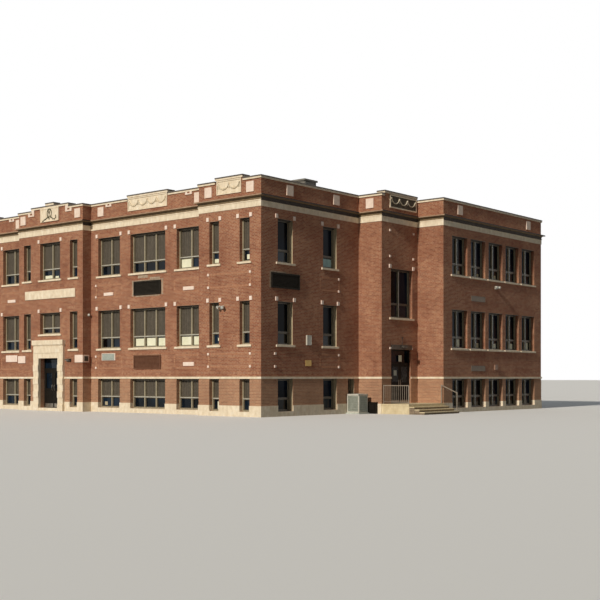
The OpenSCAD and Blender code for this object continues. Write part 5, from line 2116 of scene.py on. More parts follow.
@dataclass
class CrestCarving(SubAssembly):
    """Laurel wreath, torch and ribbons carved on the crest over the entrance."""

    slot: str = "limestone"
    wide: float = 1.62
    high: float = 0.75
    wreath_w: float = 0.185
    wreath_h: float = 0.235
    leaves: int = 24
    cap_w: float = 0.74
    cap_h: float = 0.10
    cap_z: float = 11.35
    face: float = -PLAN.carved_out

    @property
    def foot(self) -> float:
        """Level of the slab's underside."""
        return PLAN.parapet_z + PLAN.parapet_raise - self.high

    @property
    def centre_z(self) -> float:
        """Level of the wreath's centre."""
        return self.foot + self.high * 0.61

    def wreath(self) -> list[Piece]:
        """Lay laurel leaves round an open ring, with their tips towards the top.

        Returns:
            The leaves.
        """
        parts = []
        for step in range(self.leaves):
            angle = math.pi * (0.13 + 1.74 * step / (self.leaves - 1))
            way = -1 if angle < math.pi else 1
            x = -self.wreath_w * math.sin(angle)
            z = self.centre_z - self.wreath_h * math.cos(angle)
            for side in (-1, 1):
                leaf = Bench.ball((x, self.face - 0.012, z), (0.020, 0.022, 0.042))
                Bench.turn(leaf, math.degrees(angle) + way * side * 24, "Y", (x, self.face, z))
                shift = side * 0.014
                leaf.data.transform(Matrix.Translation((shift * math.sin(angle), 0,
                                                        shift * math.cos(angle))))
                parts.append(leaf)
        return parts

    def ribbons(self) -> list[Piece]:
        """Bend the ribbons and branches that leave the wreath's foot on both sides.

        Returns:
            The ribbons and the leaves along them.
        """
        foot, deep = self.centre_z - self.wreath_h, self.face - 0.012
        left = ((-0.08, 0.02), (-0.2, 0.0), (-0.32, -0.07), (-0.43, -0.09), (-0.52, -0.16),
                (-0.60, -0.17))
        right = ((0.08, 0.02), (0.2, -0.01), (0.33, -0.1), (0.48, -0.12), (0.60, -0.02),
                 (0.57, 0.06))
        lines = [[(x, deep, foot + up) for x, up in line] for line in (left, right)]
        parts = [Bench.tube(line, 0.022) for line in lines]
        for line in lines:
            for x, y, z in line[1:]:
                for side in (-1, 1):
                    leaf = Bench.ball((x, y - 0.004, z + side * 0.03), (0.045, 0.016, 0.018))
                    tilt = (26 if x < 0 else -26) * side
                    parts.append(Bench.turn(leaf, tilt, "Y", (x, y, z)))
        return parts

    def torch(self) -> list[Piece]:
        """Shape the torch inside the wreath: a fluted handle, a cup and a flame.

        Returns:
            The parts of the torch.
        """
        deep, middle = self.face - 0.03, self.centre_z
        parts = [Bench.rod((0, deep, middle - self.high * 0.46), (0, deep, middle + 0.02), 0.016,
                           8, EASED)]
        for rise, wide in ((-0.30, 0.034), (-0.02, 0.038), (0.03, 0.052)):
            z = middle + rise
            parts.append(Bench.rod((0, deep, z), (0, deep, z + 0.024), wide, 10, BLUNT))
        for x, tall in ((-0.026, 0.045), (0.0, 0.075), (0.026, 0.05)):
            parts.append(Bench.ball((x, deep, middle + 0.06 + tall * 0.6), (0.02, 0.016, tall)))
        return parts

    def slab(self) -> Piece:
        """Cut the slab with its raised edge and the cap stone over it.

        Returns:
            The stones, about the middle of the front.
        """
        half, top = self.wide / 2, self.foot + self.high
        slab = Bench.block((-half, self.face, self.foot), (half, 0, top), BLUNT)
        edge = Bench.ring((-half, self.face - 0.018, self.foot), (half, self.face, top), 0.055,
                          BLUNT)
        cap = Bench.block((-self.cap_w / 2, self.face, self.cap_z),
                          (self.cap_w / 2, PLAN.wall_t + PLAN.carved_out, self.cap_z + self.cap_h),
                          SOFT)
        return Bench.join([slab, edge, cap], "slab")

    def build(self) -> None:
        """Cut the slab, then carve the wreath, the ribbons and the torch on it."""
        spots = [(PLAN.entrance_w / 2, 0)]
        slab = self.keep(self.spend(self.slab(), Run.ENTRANCE, spots), "crest_slab",
                         "dressed_limestone")
        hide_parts("entrance_crest")
        carving = Bench.join(self.wreath() + self.ribbons() + self.torch(), "carving")
        laurel = self.keep(self.spend(carving, Run.ENTRANCE, spots), "crest_laurel",
                           "soot_and_shade_carved_stone")
        Bench.pick([laurel])
        bpy.ops.object.shade_smooth()


@dataclass
class WallLamps(SubAssembly):
    """Twin floodlights, flat door lamps and a small dome, in place of their plain bodies."""

    slot: str = "fitting_paint"
    head_d: float = 0.17
    head_len: float = 0.19
    box_d: float = 0.07
    door_w: float = 0.34
    door_d: float = 0.19
    dome_r: float = 0.075
    fins: int = 5

    def head(self) -> tuple[Piece, Piece]:
        """Make one floodlight head that looks along -Y, with its back at the origin.

        Returns:
            The finned housing with its rim, and the lens.
        """
        radius, length = self.head_d / 2, self.head_len
        Bench.clear()
        bpy.ops.mesh.primitive_cone_add(vertices=16, radius1=radius * 0.62, radius2=radius * 0.98,
                                        depth=length * 0.65, location=(0, -length * 0.675, 0),
                                        rotation=(math.pi / 2, 0, 0))
        parts = [Bench.settle(bpy.context.object)]
        parts.append(Bench.rod((0, 0, 0), (0, -length * 0.4, 0), radius * 0.55, 16, WORN))
        parts.append(Bench.rod((0, -length + 0.014, 0), (0, -length, 0), radius, 16, WORN))
        for k in range(self.fins):
            y = -length * (0.08 + 0.06 * k)
            parts.append(Bench.rod((0, y, 0), (0, y - 0.005, 0), radius * 0.66, 16))
        lens = Bench.dome(radius * 0.86, -length + 0.004, 0.12)
        return Bench.join(parts, "housing"), lens

    def twin(self) -> tuple[Piece, Piece]:
        """Put two heads on knuckles at a junction box.

        Returns:
            The metal parts and the lenses.
        """
        housing, lens = self.head()
        half = self.head_d * 0.55
        metal = [Bench.block((-half, -self.box_d, -self.head_d * 0.8), (half, 0, self.head_d * 0.1),
                             SOFT),
                 Bench.rod((0, -self.box_d - 0.006, -0.05), (0, -self.box_d, -0.05), 0.012, 8)]
        lenses = []
        for side in (-1, 1):
            x = side * self.head_d * 0.62
            metal.append(Bench.rod((side * half * 0.7, -self.box_d * 0.5, 0.0),
                                   (x, -self.box_d * 0.9, 0), 0.014, 8))
            place = (Matrix.Translation((x, -self.box_d * 0.8, 0))
                     @ Matrix.Rotation(math.radians(20), 4, "X")
                     @ Matrix.Rotation(math.radians(side * 14), 4, "Z"))
            metal.append(Bench.copy(housing, place))
            lenses.append(Bench.copy(lens, place))
        Bench.drop([housing, lens])
        return Bench.join(metal, "twin"), Bench.join(lenses, "lenses")

    def door_lamp(self) -> tuple[Piece, Piece]:
        """Fold a flat wedge-shaped lamp whose glass faces down.

        Returns:
            The housing and the glass.
        """
        half, deep = self.door_w / 2, self.door_d
        body = Bench.block((-half, -deep, deep * 0.42), (half, 0, deep * 0.85), WORN)
        Bench.slide(body, lambda place: place.y < -deep * 0.8 and place.z > deep * 0.6,
                    (0, 0, -deep * 0.2))
        back = Bench.block((-half, -deep * 0.4, 0), (half, 0, deep * 0.43), WORN)
        screws = [Bench.rod((x, -deep - 0.001, deep * 0.5), (x, -deep + 0.01, deep * 0.5), 0.009, 8)
                  for x in (-half + 0.03, half - 0.03)]
        glass = Bench.block((-half + 0.02, -deep * 0.94, deep * 0.34),
                            (half - 0.02, -deep * 0.4, deep * 0.43), BLUNT)
        return Bench.join([body, back, *screws], "door_lamp"), glass

    def dome(self) -> tuple[Piece, Piece]:
        """Make the small dome lamp with its base ring and cage.

        Returns:
            The metal parts and the dome.
        """
        radius = self.dome_r
        metal = [Bench.rod((0, 0, 0), (0, -radius * 0.4, 0), radius, 16, WORN)]
        for turn in (0, 90):
            arch = [(radius * 0.94 * math.cos(a), -radius * (0.4 + 0.94 * math.sin(a)), 0)
                    for a in (math.pi * k / 8 for k in range(9))]
            metal.append(Bench.turn(Bench.tube(arch, 0.004), turn, "Y", (0, 0, 0)))
        globe = Bench.dome(radius * 0.86, -radius * 0.4)
        return Bench.join(metal, "dome"), globe

    def conduit(self) -> Piece:
        """Run a short dark conduit up from the side door's lamp to a small round box.

        Returns:
            The conduit with its straps.
        """
        pipe = Bench.tube([(0, -0.016, 0.0), (0, -0.016, 0.36)], 0.011, smooth=False)
        box = Bench.rod((0, 0, 0.38), (0, -0.035, 0.38), 0.05, 12, WORN)
        straps = [Bench.block((-0.028, -0.03, z), (0.028, 0, z + 0.018), FOLD)
                  for z in (0.12, 0.28)]
        return Bench.join([pipe, box, *straps], "conduit")

    def build(self) -> None:
        """Hang the lamps on the right half, where the photograph has them."""
        first, second = PLAN.first_sill, PLAN.second_sill
        corner = PLAN.corner_w / 2 - PLAN.corner_offset + PLAN.narrow_w / 2 + 0.25
        rear = PLAN.length(Run.REAR_SIDE) / 2 - 0.02
        white, glass, dark = [], [], []
        metal, lens = self.twin()
        for run, spot in ((Run.CORNER, (corner, first + 1.84)),
                          (Run.REAR_SIDE, (rear, second - 0.37))):
            white += self.spread(metal, run, [spot], twins=False)
            glass += self.spread(lens, run, [spot], twins=False)
        Bench.drop([metal, lens])
        metal, lens = self.dome()
        spot = (PLAN.pavilion_out * 0.7, first + 1.83)
        white += self.spend(metal, Run.ENTRANCE_RETURN, [spot], twins=False)
        glass += self.spend(lens, Run.ENTRANCE_RETURN, [spot], twins=False)
        metal, lens = self.door_lamp()
        for run, along, out, up in ((Run.TOWER_SIDE, PLAN.tower_c + 0.1, 0.06, 3.34),
                                    (Run.ENTRANCE, PLAN.entrance_w / 2 + 1.69, 0.0, first - 0.67)):
            place = PLAN.frames(run)[0] @ Matrix.Translation((along, -out, up))
            dark.append(Bench.copy(metal, place))
            glass.append(Bench.copy(lens, place))
        Bench.drop([metal, lens])
        dark += self.spend(self.conduit(), Run.TOWER_SIDE, [(PLAN.tower_c + 0.1, 3.51)],
                           twins=False)
        for parts, name, finish in ((white, "white_lamps", "off_white_enamel"),
                                    (glass, "lamp_glasses", "lamp_glass"),
                                    (dark, "door_lamps", "black_brown_enamel")):
            piece = self.keep(parts, name, finish)
            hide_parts("wall_lamps")
            Bench.smooth(piece, 35)


@dataclass
class SideDoors(SubAssembly):
    """Glass, beads, ironmongery and bare notices on the double doors, hood and threshold."""

    slot: str = "door_paint"
    door_w: float = 1.78
    door_h: float = 2.78
    leaf_h: float = 2.03
    gap: float = 0.006
    frame_w: float = 0.06
    inset: float = 0.09
    stile: float = 0.12
    wire_pitch: float = 0.06
    hood_h: float = 0.23
    hood_out: float = 0.06

    @property
    def leaf_w(self) -> float:
        """Width of one leaf."""
        return (self.door_w - 2 * self.frame_w - 3 * self.gap) / 2

    def leaf_frames(self, side: int, left_half: bool) -> Matrix:
        """Give the matrix from a leaf's own coordinates to the building.

        Args:
            side: -1 for the leaf at the nearer jamb, 1 for the farther one.
            left_half: Whether the leaf belongs to the doors of the left half.

        Returns:
            Matrix from (hinge edge to free edge, into the wall, up).
        """
        hinge = PLAN.tower_c + side * (self.door_w / 2 - self.frame_w - self.gap)
        place = Matrix.Translation((hinge, self.inset, PLAN.landing_z + self.gap))
        if side > 0:
            place = place @ Matrix.Diagonal((-1, 1, 1, 1))
        return PLAN.frames(Run.TOWER_SIDE)[1 if left_half else 0] @ place

    def glass(self) -> Piece:
        """Set the wired pane in the upper opening of a leaf."""
        high = self.leaf_h - self.stile + 0.005
        return Bench.block((self.stile - 0.005, 0.012, self.leaf_h * 0.52 - 0.005),
                           (self.leaf_w - self.stile + 0.005, 0.0175, high), CRISP)

    def beads(self) -> Piece:
        """Frame both openings of a leaf with mitred beads and fill the lower one.

        Returns:
            The beads and the raised lower panel.
        """
        left, right = self.stile, self.leaf_w - self.stile
        low, high = self.leaf_h * 0.52, self.leaf_h - self.stile
        foot, top = self.stile * 1.6, self.leaf_h * 0.48 - self.stile * 0.8
        upper = Bench.ring((left, -0.003, low), (right, 0.012, high), 0.02, EASED)
        lower = Bench.ring((left, -0.003, foot), (right, 0.014, top), 0.02, EASED)
        raised = Bench.block((left + 0.05, 0.006, foot + 0.05), (right - 0.05, 0.0175, top - 0.05),
                             SOFT)
        return Bench.join([upper, lower, raised], "beads")

    def wires(self) -> Piece:
        """Lay the wire mesh in the pane.

        Returns:
            The wires.
        """
        low, high = self.leaf_h * 0.52 + 0.015, self.leaf_h - self.stile - 0.015
        left, right = self.stile + 0.015, self.leaf_w - self.stile - 0.015
        upright = Bench.rod((left, 0.0115, low), (left, 0.0115, high), 0.0015, 4)
        Bench.row(upright, int((right - left) / self.wire_pitch) + 1, (self.wire_pitch, 0, 0))
        level = Bench.rod((left, 0.0115, low), (right, 0.0115, low), 0.0015, 4)
        Bench.row(level, int((high - low) / self.wire_pitch) + 1, (0, 0, self.wire_pitch))
        return Bench.join([upright, level], "wires")

    def ironmongery(self) -> Piece:
        """Fit the kick plate with its screws, the lock plate and the cylinder.

        Returns:
            The metal parts.
        """
        wide = self.leaf_w
        plate, lock = self.leaf_h * 0.42, self.leaf_h * 0.4
        parts = [Bench.block((0.03, -0.003, 0.02), (wide - 0.03, 0.0, 0.165), CRISP),
                 Bench.block((wide - 0.1, -0.003, plate - 0.03), (wide - 0.05, 0.0, plate + 0.36),
                             CRISP),
                 Bench.rod((wide - 0.075, -0.009, lock), (wide - 0.075, 0, lock), 0.014, 12,
                           FOLD)]
        for x in (0.06, wide / 2, wide - 0.06):
            for z in (0.04, 0.145):
                parts.append(Bench.rod((x, -0.0045, z), (x, -0.002, z), 0.006, 6))
        return Bench.join(parts, "ironmongery")

    def notice(self, low: Sequence[float], wide: float, tall: float) -> Piece:
        """Tape a bare sheet of paper to a pane.

        Args:
            low: Lowest corner of the sheet, at its front.
            wide: Width of the sheet.
            tall: Height of the sheet.

        Returns:
            The sheet with four strips of tape.
        """
        left, front, foot = low
        sheet = Bench.block((left, front, foot), (left + wide, front + 0.0015, foot + tall))
        Bench.roughen(sheet, 3, 0.001)
        tapes = [Bench.block((x - 0.015, front - 0.001, z - 0.008),
                             (x + 0.015, front + 0.0025, z + 0.008))
                 for x in (left + 0.02, left + wide - 0.02) for z in (foot, foot + tall)]
        return Bench.join([sheet, *tapes], "notice")

    def hood(self) -> Piece:
        """Face the hood over the doors with a framed sheet and a drip.

        Returns:
            The facing, in wall coordinates.
        """
        half, out = self.door_w / 2 + 0.03, -self.hood_out
        left, right = PLAN.tower_c - half, PLAN.tower_c + half
        low = PLAN.landing_z + self.door_h
        high = low + self.hood_h
        sheet = Bench.block((left, out - 0.006, low), (right, out, high), FOLD)
        rim = Bench.ring((left, out - 0.014, low), (right, out - 0.006, high), 0.03, EASED)
        drip = Bench.block((left, out - 0.03, high - 0.012), (right, 0, high + 0.008), EASED)
        return Bench.join([sheet, rim, drip], "hood")

    def threshold(self) -> Piece:
        """Lay the fluted metal threshold under the leaves.

        Returns:
            The threshold, in wall coordinates.
        """
        half = self.door_w / 2 - self.frame_w
        flutes = Bench.rib((PLAN.tower_c - half, self.inset + 0.01, PLAN.landing_z),
                           (PLAN.tower_c + half, self.inset + 0.02, PLAN.landing_z + 0.004), 1.0)
        return Bench.row(flutes, 8, (0, 0.013, 0))

    def build(self) -> None:
        """Dress the right pair on its own bodies and the left pair on the building."""
        kit = {"glass": (self.glass(), "blue_black_glass"),
               "beads": (self.beads(), "black_door_paint"),
               "wires": (self.wires(), "worn_stainless"),
               "ironmongery": (self.ironmongery(), "worn_stainless")}
        for name, (pattern, finish) in kit.items():
            for side, body in ((-1, Body.LEAF_A), (1, Body.LEAF_B)):
                copy = Bench.copy(pattern, self.leaf_frames(side, False))
                self.keep([copy], f"{body.value}_{name}", finish, body)
            copies = [Bench.copy(pattern, self.leaf_frames(side, True)) for side in (-1, 1)]
            self.keep(copies, f"left_doors_{name}", finish)
        grey = self.notice((0.30, 0.007, 1.43), 0.26, 0.27)
        copy = Bench.copy(grey, self.leaf_frames(-1, False))
        self.keep([copy], "door_leaf_a_notice", "chalky_green_plate", Body.LEAF_A)
        white = self.notice((PLAN.tower_c - 0.04, 0.13, 2.66), 0.28, 0.32)
        self.keep(self.spend(white, Run.TOWER_SIDE, twins=False), "transom_notice", "white_paper")
        Bench.drop([grey, *(pattern for pattern, _ in kit.values())])
        for name, pattern, finish in (("door_hood_facing", self.hood(), "grey_brown_sheet"),
                                      ("door_thresholds", self.threshold(), "worn_stainless")):
            self.keep(self.spend(pattern, Run.TOWER_SIDE), name, finish)


@dataclass
class EntranceDoors(SubAssembly):
    """Beads, glass, pulls and kick plates of the shut main doors, and the surround's mouldings."""

    slot: str = "door_paint"
    wide: float = 1.70
    high: float = 2.90
    step: float = 0.15
    leaf_h: float = 2.13
    face: float = 0.26
    bar: float = 0.055
    pilaster_w: float = 0.46
    surround_h: float = 3.90
    surround_out: float = 0.15
    dentils: int = 22

    @property
    def leaf_w(self) -> float:
        """Width of one leaf."""
        return (self.wide - 3 * self.bar) / 2

    def openings(self) -> list[tuple[float, float, float, float]]:
        """List the glazed openings as left, right, low and high."""
        mid, low = PLAN.entrance_w / 2, self.step + self.leaf_h * 0.5
        found = []
        for side in (-1, 1):
            left = mid + side * (self.leaf_w + self.bar) / 2 - self.leaf_w / 2 + 0.11
            found.append((left, left + self.leaf_w - 0.22, low, low + self.leaf_h * 0.42))
        half = self.wide / 2 - self.bar
        found.append((mid - half, mid + half, self.step + self.leaf_h + self.bar,
                      self.high - self.bar))
        return found

    def mouldings(self) -> Piece:
        """Cut the surround's frieze block, its fillet and the dentils between them.

        Returns:
            The mouldings, in wall coordinates.
        """
        half, out, top = self.wide / 2 + self.pilaster_w, -self.surround_out, self.surround_h
        left, right = PLAN.entrance_w / 2 - half, PLAN.entrance_w / 2 + half
        block = Bench.block((left + 0.1, out - 0.022, top - 0.72), (right - 0.1, out, top - 0.34),
                            0.01)
        fillet = Bench.block((left - 0.03, out - 0.04, top - 0.30),
                             (right + 0.03, out, top - 0.26), 0.012)
        dentil = Bench.block((left + 0.01, out - 0.03, top - 0.335), (left + 0.07, out, top - 0.30),
                             WORN)
        step = (2 * half - 0.08) / (self.dentils - 1)
        return Bench.join([block, fillet, Bench.row(dentil, self.dentils, (step, 0, 0))], "mould")

    def build(self) -> None:
        """Glaze and fit the doors, then lay the surround's mouldings."""
        mid, face, step = PLAN.entrance_w / 2, self.face, self.step
        beads, panes, metal = [], [], []
        for left, right, low, high in self.openings():
            beads.append(Bench.ring((left, face - 0.008, low), (right, face + 0.02, high), 0.02,
                                    EASED))
            panes.append(Bench.block((left, face + 0.04, low), (right, face + 0.05, high), FOLD))
        for side in (-1, 1):
            centre = mid + side * (self.leaf_w + self.bar) / 2
            left, right = centre - self.leaf_w / 2, centre + self.leaf_w / 2
            metal.append(Bench.block((left + 0.03, face - 0.004, step + 0.03),
                                     (right - 0.03, face, step + 0.25), CRISP))
            beads.append(Bench.ring((left + 0.1, face - 0.008, step + 0.32),
                                    (right - 0.1, face + 0.002, step + 0.98), 0.022, EASED))
            pull, grip = mid + side * 0.1, ((0, 0.95), (0.06, 0.98), (0.06, 1.26), (0, 1.29))
            metal.append(Bench.tube([(pull, face - out, step + up) for out, up in grip], 0.010))
        for parts, name, finish in ((beads, "entrance_beads", "black_door_paint"),
                                    (panes, "entrance_panes", "dark_float_glass"),
                                    (metal, "entrance_ironmongery", "worn_stainless")):
            pattern = Bench.join(parts, name)
            self.keep(self.spread(pattern, Run.ENTRANCE), name, finish)
            Bench.drop([pattern])
        self.keep(self.spend(self.mouldings(), Run.ENTRANCE), "entrance_mouldings",
                  "dressed_limestone", slot="limestone")


@dataclass
class LandingWork(SubAssembly):
    """Split stones and tread slabs of the steps, slab edges and railing feet."""

    slot: str = "concrete"
    tread_d: float = 0.30
    steps: int = 3
    tread_t: float = 0.045
    joint: float = 0.008
    stones: int = 5
    shake: float = 0.006
    post: float = 0.04
    inset: float = 0.06
    rail_top: float = 0.95
    plate: float = 0.10

    @property
    def start(self) -> Vector:
        """Corner where the steps leave the right landing, at the ground."""
        corner = PLAN.corners[Run.TOWER_SIDE.value]
        return Vector((corner.x + PLAN.landing_d, corner.y, 0))

    def rough_stone(self, low: Sequence[float], high: Sequence[float]) -> Piece:
        """Split one stone that stays inside its bed.

        Args:
            low: Lowest corner of the bed.
            high: Highest corner of the bed.

        Returns:
            The stone.
        """
        edge = self.shake + self.joint / 2
        stone = Bench.block([l + edge for l in low], [h - edge for h in high], BLUNT)
        return Bench.roughen(stone, 1, self.shake)

    def flight(self) -> tuple[Piece, Piece, Piece]:
        """Build the steps: treads, split stones under them and the mortar behind.

        Returns:
            Treads, stones and mortar core.
        """
        rise = PLAN.landing_z / (self.steps + 1)
        wide = PLAN.tower_len
        treads, stones, cores = [], [], []
        for k in range(self.steps):
            x, y, _ = self.start + Vector((k * self.tread_d, 0, 0))
            top = PLAN.landing_z - (k + 1) * rise
            end = x + self.tread_d
            tread = Bench.block((x, y, top - self.tread_t), (end, y + wide / 2, top), BLUNT)
            treads.append(Bench.row(tread, 2, (0, wide / 2, 0)))
            cores.append(Bench.block((x, y + 0.022, 0), (end - 0.02, y + wide - 0.022,
                                                        top - self.tread_t)))
            for course in range(self.steps - k):
                high = (course + 1) * rise - (self.tread_t if course == self.steps - 1 - k else 0)
                length = wide / self.stones
                for n in range(self.stones):
                    stones.append(self.rough_stone((x, y + n * length, course * rise),
                                                   (end, y + (n + 1) * length, high)))
        return (Bench.join(treads, "treads"), Bench.join(stones, "stones"),
                Bench.join(cores, "cores"))

    def slab_edge(self) -> Piece:
        """Cast the landing's slightly projecting edge.

        Returns:
            The edge.
        """
        x, y, _ = self.start
        return Bench.block((x - PLAN.landing_d, y - 0.014, PLAN.landing_z - 0.09),
                           (x, y + 0.02, PLAN.landing_z + 0.001), SOFT)

    def foot(self, x: float, y: float, z: float, top: float) -> Piece:
        """Bolt a plate under a post and close the post's top.

        Args:
            x: Post centre along X.
            y: Post centre along Y.
            z: Level of the post's foot.
            top: Level of the post's top.

        Returns:
            The plate with its bolts, a weld and the cap.
        """
        parts = [Bench.block((x - half, y - half, low), (x + half, y + half, high), bevel)
                 for half, low, high, bevel in (
                     (self.plate / 2, z, z + 0.008, FOLD), (0.025, z + 0.006, z + 0.016, WORN),
                     (0.023, top - 0.002, top + 0.006, EASED))]
        for dx in (-1, 1):
            for dy in (-1, 1):
                centre = (x + dx * 0.036, y + dy * 0.036)
                parts.append(Bench.rod((*centre, z + 0.004), (*centre, z + 0.016), 0.007, 6))
        return Bench.join(parts, "foot")

    def feet(self) -> Piece:
        """Fit the feet of the landing rail and of the step rail.

        Returns:
            All the feet of one landing.
        """
        x, y, _ = self.start
        half = self.post / 2
        level, rise = PLAN.landing_z, PLAN.landing_z / (self.steps + 1)
        far = y + PLAN.tower_len - self.inset - 0.1 + half
        near = y + self.inset + half
        spots = [(x - PLAN.landing_d + self.inset + half, near, level, level + self.rail_top),
                 (x - self.inset - half, near, level, level + self.rail_top),
                 (x - 3 * self.post + half, far, level, level + self.rail_top),
                 (x + self.steps * self.tread_d - 2 * self.post + half, far, rise,
                  rise + self.rail_top)]
        return Bench.join([self.foot(*spot) for spot in spots], "feet")

    def build(self) -> None:
        """Build the steps of both landings in place of the plain ones, then the fittings."""
        treads, stones, cores = self.flight()
        pieces = ((treads, "step_treads", "pale_landing_concrete"),
                  (stones, "step_stones", "split_brown_stone"),
                  (cores, "step_mortar", "smeared_lime_mortar"),
                  (self.slab_edge(), "landing_edges", "pale_landing_concrete"),
                  (self.feet(), "railing_feet", "grey_brown_rail_paint"))
        for pattern, name, finish in pieces:
            copies = [Bench.copy(pattern, Matrix.Diagonal((side, 1, 1, 1))) for side in (1, -1)]
            piece = self.keep(copies, name, finish)
            if name.startswith("step_"):
                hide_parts("landing_steps")
            Bench.drop([pattern])


@dataclass
class CondenserCase(SubAssembly):
    """Guards, corner posts, rim and fan of the condenser beside the tower."""

    slot: str = "condenser_paint"
    low: tuple[float, float, float] = (15.755, 6.43, 0.06)
    width: float = 0.74
    height: float = 0.93
    fan_r: float = 0.296
    rings: int = 7
    blades: int = 4
    wire_pitch: float = 0.045

    @property
    def middle(self) -> Vector:
        """Centre of the unit's foot."""
        return Vector((self.low[0] + self.width / 2, self.low[1] + self.width / 2, self.low[2]))

    def guard(self) -> Piece:
        """Weave the wire guard over the coil of one side.

        Returns:
            The guard in unit coordinates.
        """
        face, half = -self.width / 2, self.width / 2 - 0.055
        upright = Bench.rod((-half, face - 0.008, 0.07), (-half, face - 0.008, self.height - 0.09),
                            0.006, 6)
        Bench.row(upright, int(2 * half / self.wire_pitch) + 1, (self.wire_pitch, 0, 0))
        level = Bench.rod((-half, face - 0.014, 0.1), (half, face - 0.014, 0.1), 0.004, 6)
        Bench.row(level, 7, (0, 0, (self.height - 0.22) / 6))
        return Bench.join([upright, level], "guard")

    def coil(self) -> Piece:
        """Stand the rows of coil fins between the louvre slots of one side.

        Returns:
            The fins in unit coordinates.
        """
        face, half = -self.width / 2, self.width / 2 - 0.056
        fin = Bench.block((-half, face - 0.0015, 0.066), (-half + 0.006, face + 0.004,
                                                          self.height - 0.08))
        return Bench.row(fin, int(2 * half / 0.009), (0.009, 0, 0))

    def casing(self) -> Piece:
        """Fold the corner post, the foot rail and the top rim of one side.

        Returns:
            The sheet parts in unit coordinates.
        """
        half = self.width / 2
        post = Bench.block((-half - 0.006, -half - 0.006, 0.0), (-half + 0.052, -half, self.height),
                           EASED)
        turn = Bench.block((half - 0.052, -half - 0.006, 0.0), (half + 0.006, -half, self.height),
                           EASED)
        foot = Bench.block((-half, -half - 0.009, 0.0), (half, -half, 0.062), WORN)
        rim = Bench.block((-half - 0.014, -half - 0.014, self.height - 0.075),
                          (half + 0.014, -half + 0.03, self.height + 0.012), SOFT)
        screws = Bench.rod((-half + 0.03, -half - 0.018, self.height - 0.04),
                           (-half + 0.03, -half - 0.01, self.height - 0.04), 0.006, 6)
        Bench.row(screws, 4, ((self.width - 0.06) / 3, 0, 0))
        return Bench.join([post, turn, foot, rim, screws], "casing")

    def fan_guard(self) -> Piece:
        """Lay rings and spokes over the fan.

        Returns:
            The guard.
        """
        x, y, _ = self.middle
        z = self.low[2] + self.height + 0.016
        parts = []
        for k in range(self.rings):
            Bench.clear()
            bpy.ops.mesh.primitive_torus_add(
                location=(x, y, z), major_radius=self.fan_r * (k + 1.4) / (self.rings + 0.4),
                minor_radius=0.003, major_segments=28, minor_segments=4)
            parts.append(Bench.settle(bpy.context.object))
        centre, reach = Vector((x, y, z - 0.004)), self.fan_r + 0.03
        for k in range(8):
            way = Vector((math.cos(k * math.pi / 4), math.sin(k * math.pi / 4), 0))
            parts.append(Bench.rod(centre + way * 0.05, centre + way * reach, 0.004, 5))
        parts.append(Bench.rod((x, y, z - 0.012), (x, y, z + 0.008), 0.07, 20, WORN))
        return Bench.join(parts, "fan_guard")

    def fan(self) -> Piece:
        """Set the motor and four pitched blades under the guard.

        Returns:
            The fan.
        """
        x, y, _ = self.middle
        z = self.low[2] + self.height - 0.025
        parts = [Bench.rod((x, y, z - 0.03), (x, y, z + 0.02), 0.055, 16, WORN)]
        for k in range(self.blades):
            blade = Bench.block((x + 0.04, y - 0.05, z - 0.002),
                                (x + self.fan_r - 0.025, y + 0.07, z + 0.002), 0.0015)
            Bench.turn(blade, 18, "X", (x, y, z))
            parts.append(Bench.turn(blade, 360 / self.blades * k, "Z", (x, y, z)))
        return Bench.join(parts, "fan")

    def build(self) -> None:
        """Fit the guards, the casing and the fan."""
        guards = [*Bench.box_round(self.guard(), self.middle), self.fan_guard()]
        self.keep(guards, "condenser_guards", "grey_green_enamel")
        for pattern, name, finish in ((self.coil, "condenser_coil", "grey_coil_fins"),
                                      (self.casing, "condenser_casing", "off_white_enamel")):
            self.keep(Bench.box_round(pattern(), self.middle), name, finish)
        self.keep([self.fan()], "condenser_fan", "black_brown_enamel")


@dataclass
class CabinetFront(SubAssembly):
    """Door, hinges, latch and vents of the small cabinet against the tower."""

    slot: str = "dark_metal"
    along: float = 0.993
    width: float = 0.47
    height: float = 0.58
    face: float = -0.235

    def build(self) -> None:
        """Fit the cabinet's door and fittings."""
        left, right = self.along - self.width / 2, self.along + self.width / 2
        out, high = self.face, self.height
        parts = [Bench.block((left + 0.018, out - 0.006, 0.03), (right - 0.018, out, high - 0.035),
                             EASED),
                 Bench.block((left - 0.01, out - 0.016, high - 0.01),
                             (right + 0.01, 0.0, high + 0.006), WORN),
                 Bench.ring((left + 0.05, out - 0.01, 0.07),
                            (right - 0.05, out - 0.006, high - 0.09), 0.012, FOLD)]
        vent = Bench.block((left + 0.09, out - 0.013, 0.11), (right - 0.09, out - 0.006, 0.118),
                           FOLD)
        parts.append(Bench.row(vent, 5, (0, 0, 0.018)))
        for z in (0.12, high - 0.12):
            parts.append(Bench.rod((left + 0.012, out - 0.006, z - 0.03),
                                   (left + 0.012, out - 0.006, z + 0.03), 0.007, 8))
        parts.append(Bench.block((right - 0.075, out - 0.022, 0.27),
                                 (right - 0.045, out - 0.006, 0.36), WORN))
        self.keep(self.spend(Bench.join(parts, "cabinet"), Run.TOWER_FRONT, twins=False),
                  "cabinet_front", "black_door_paint")


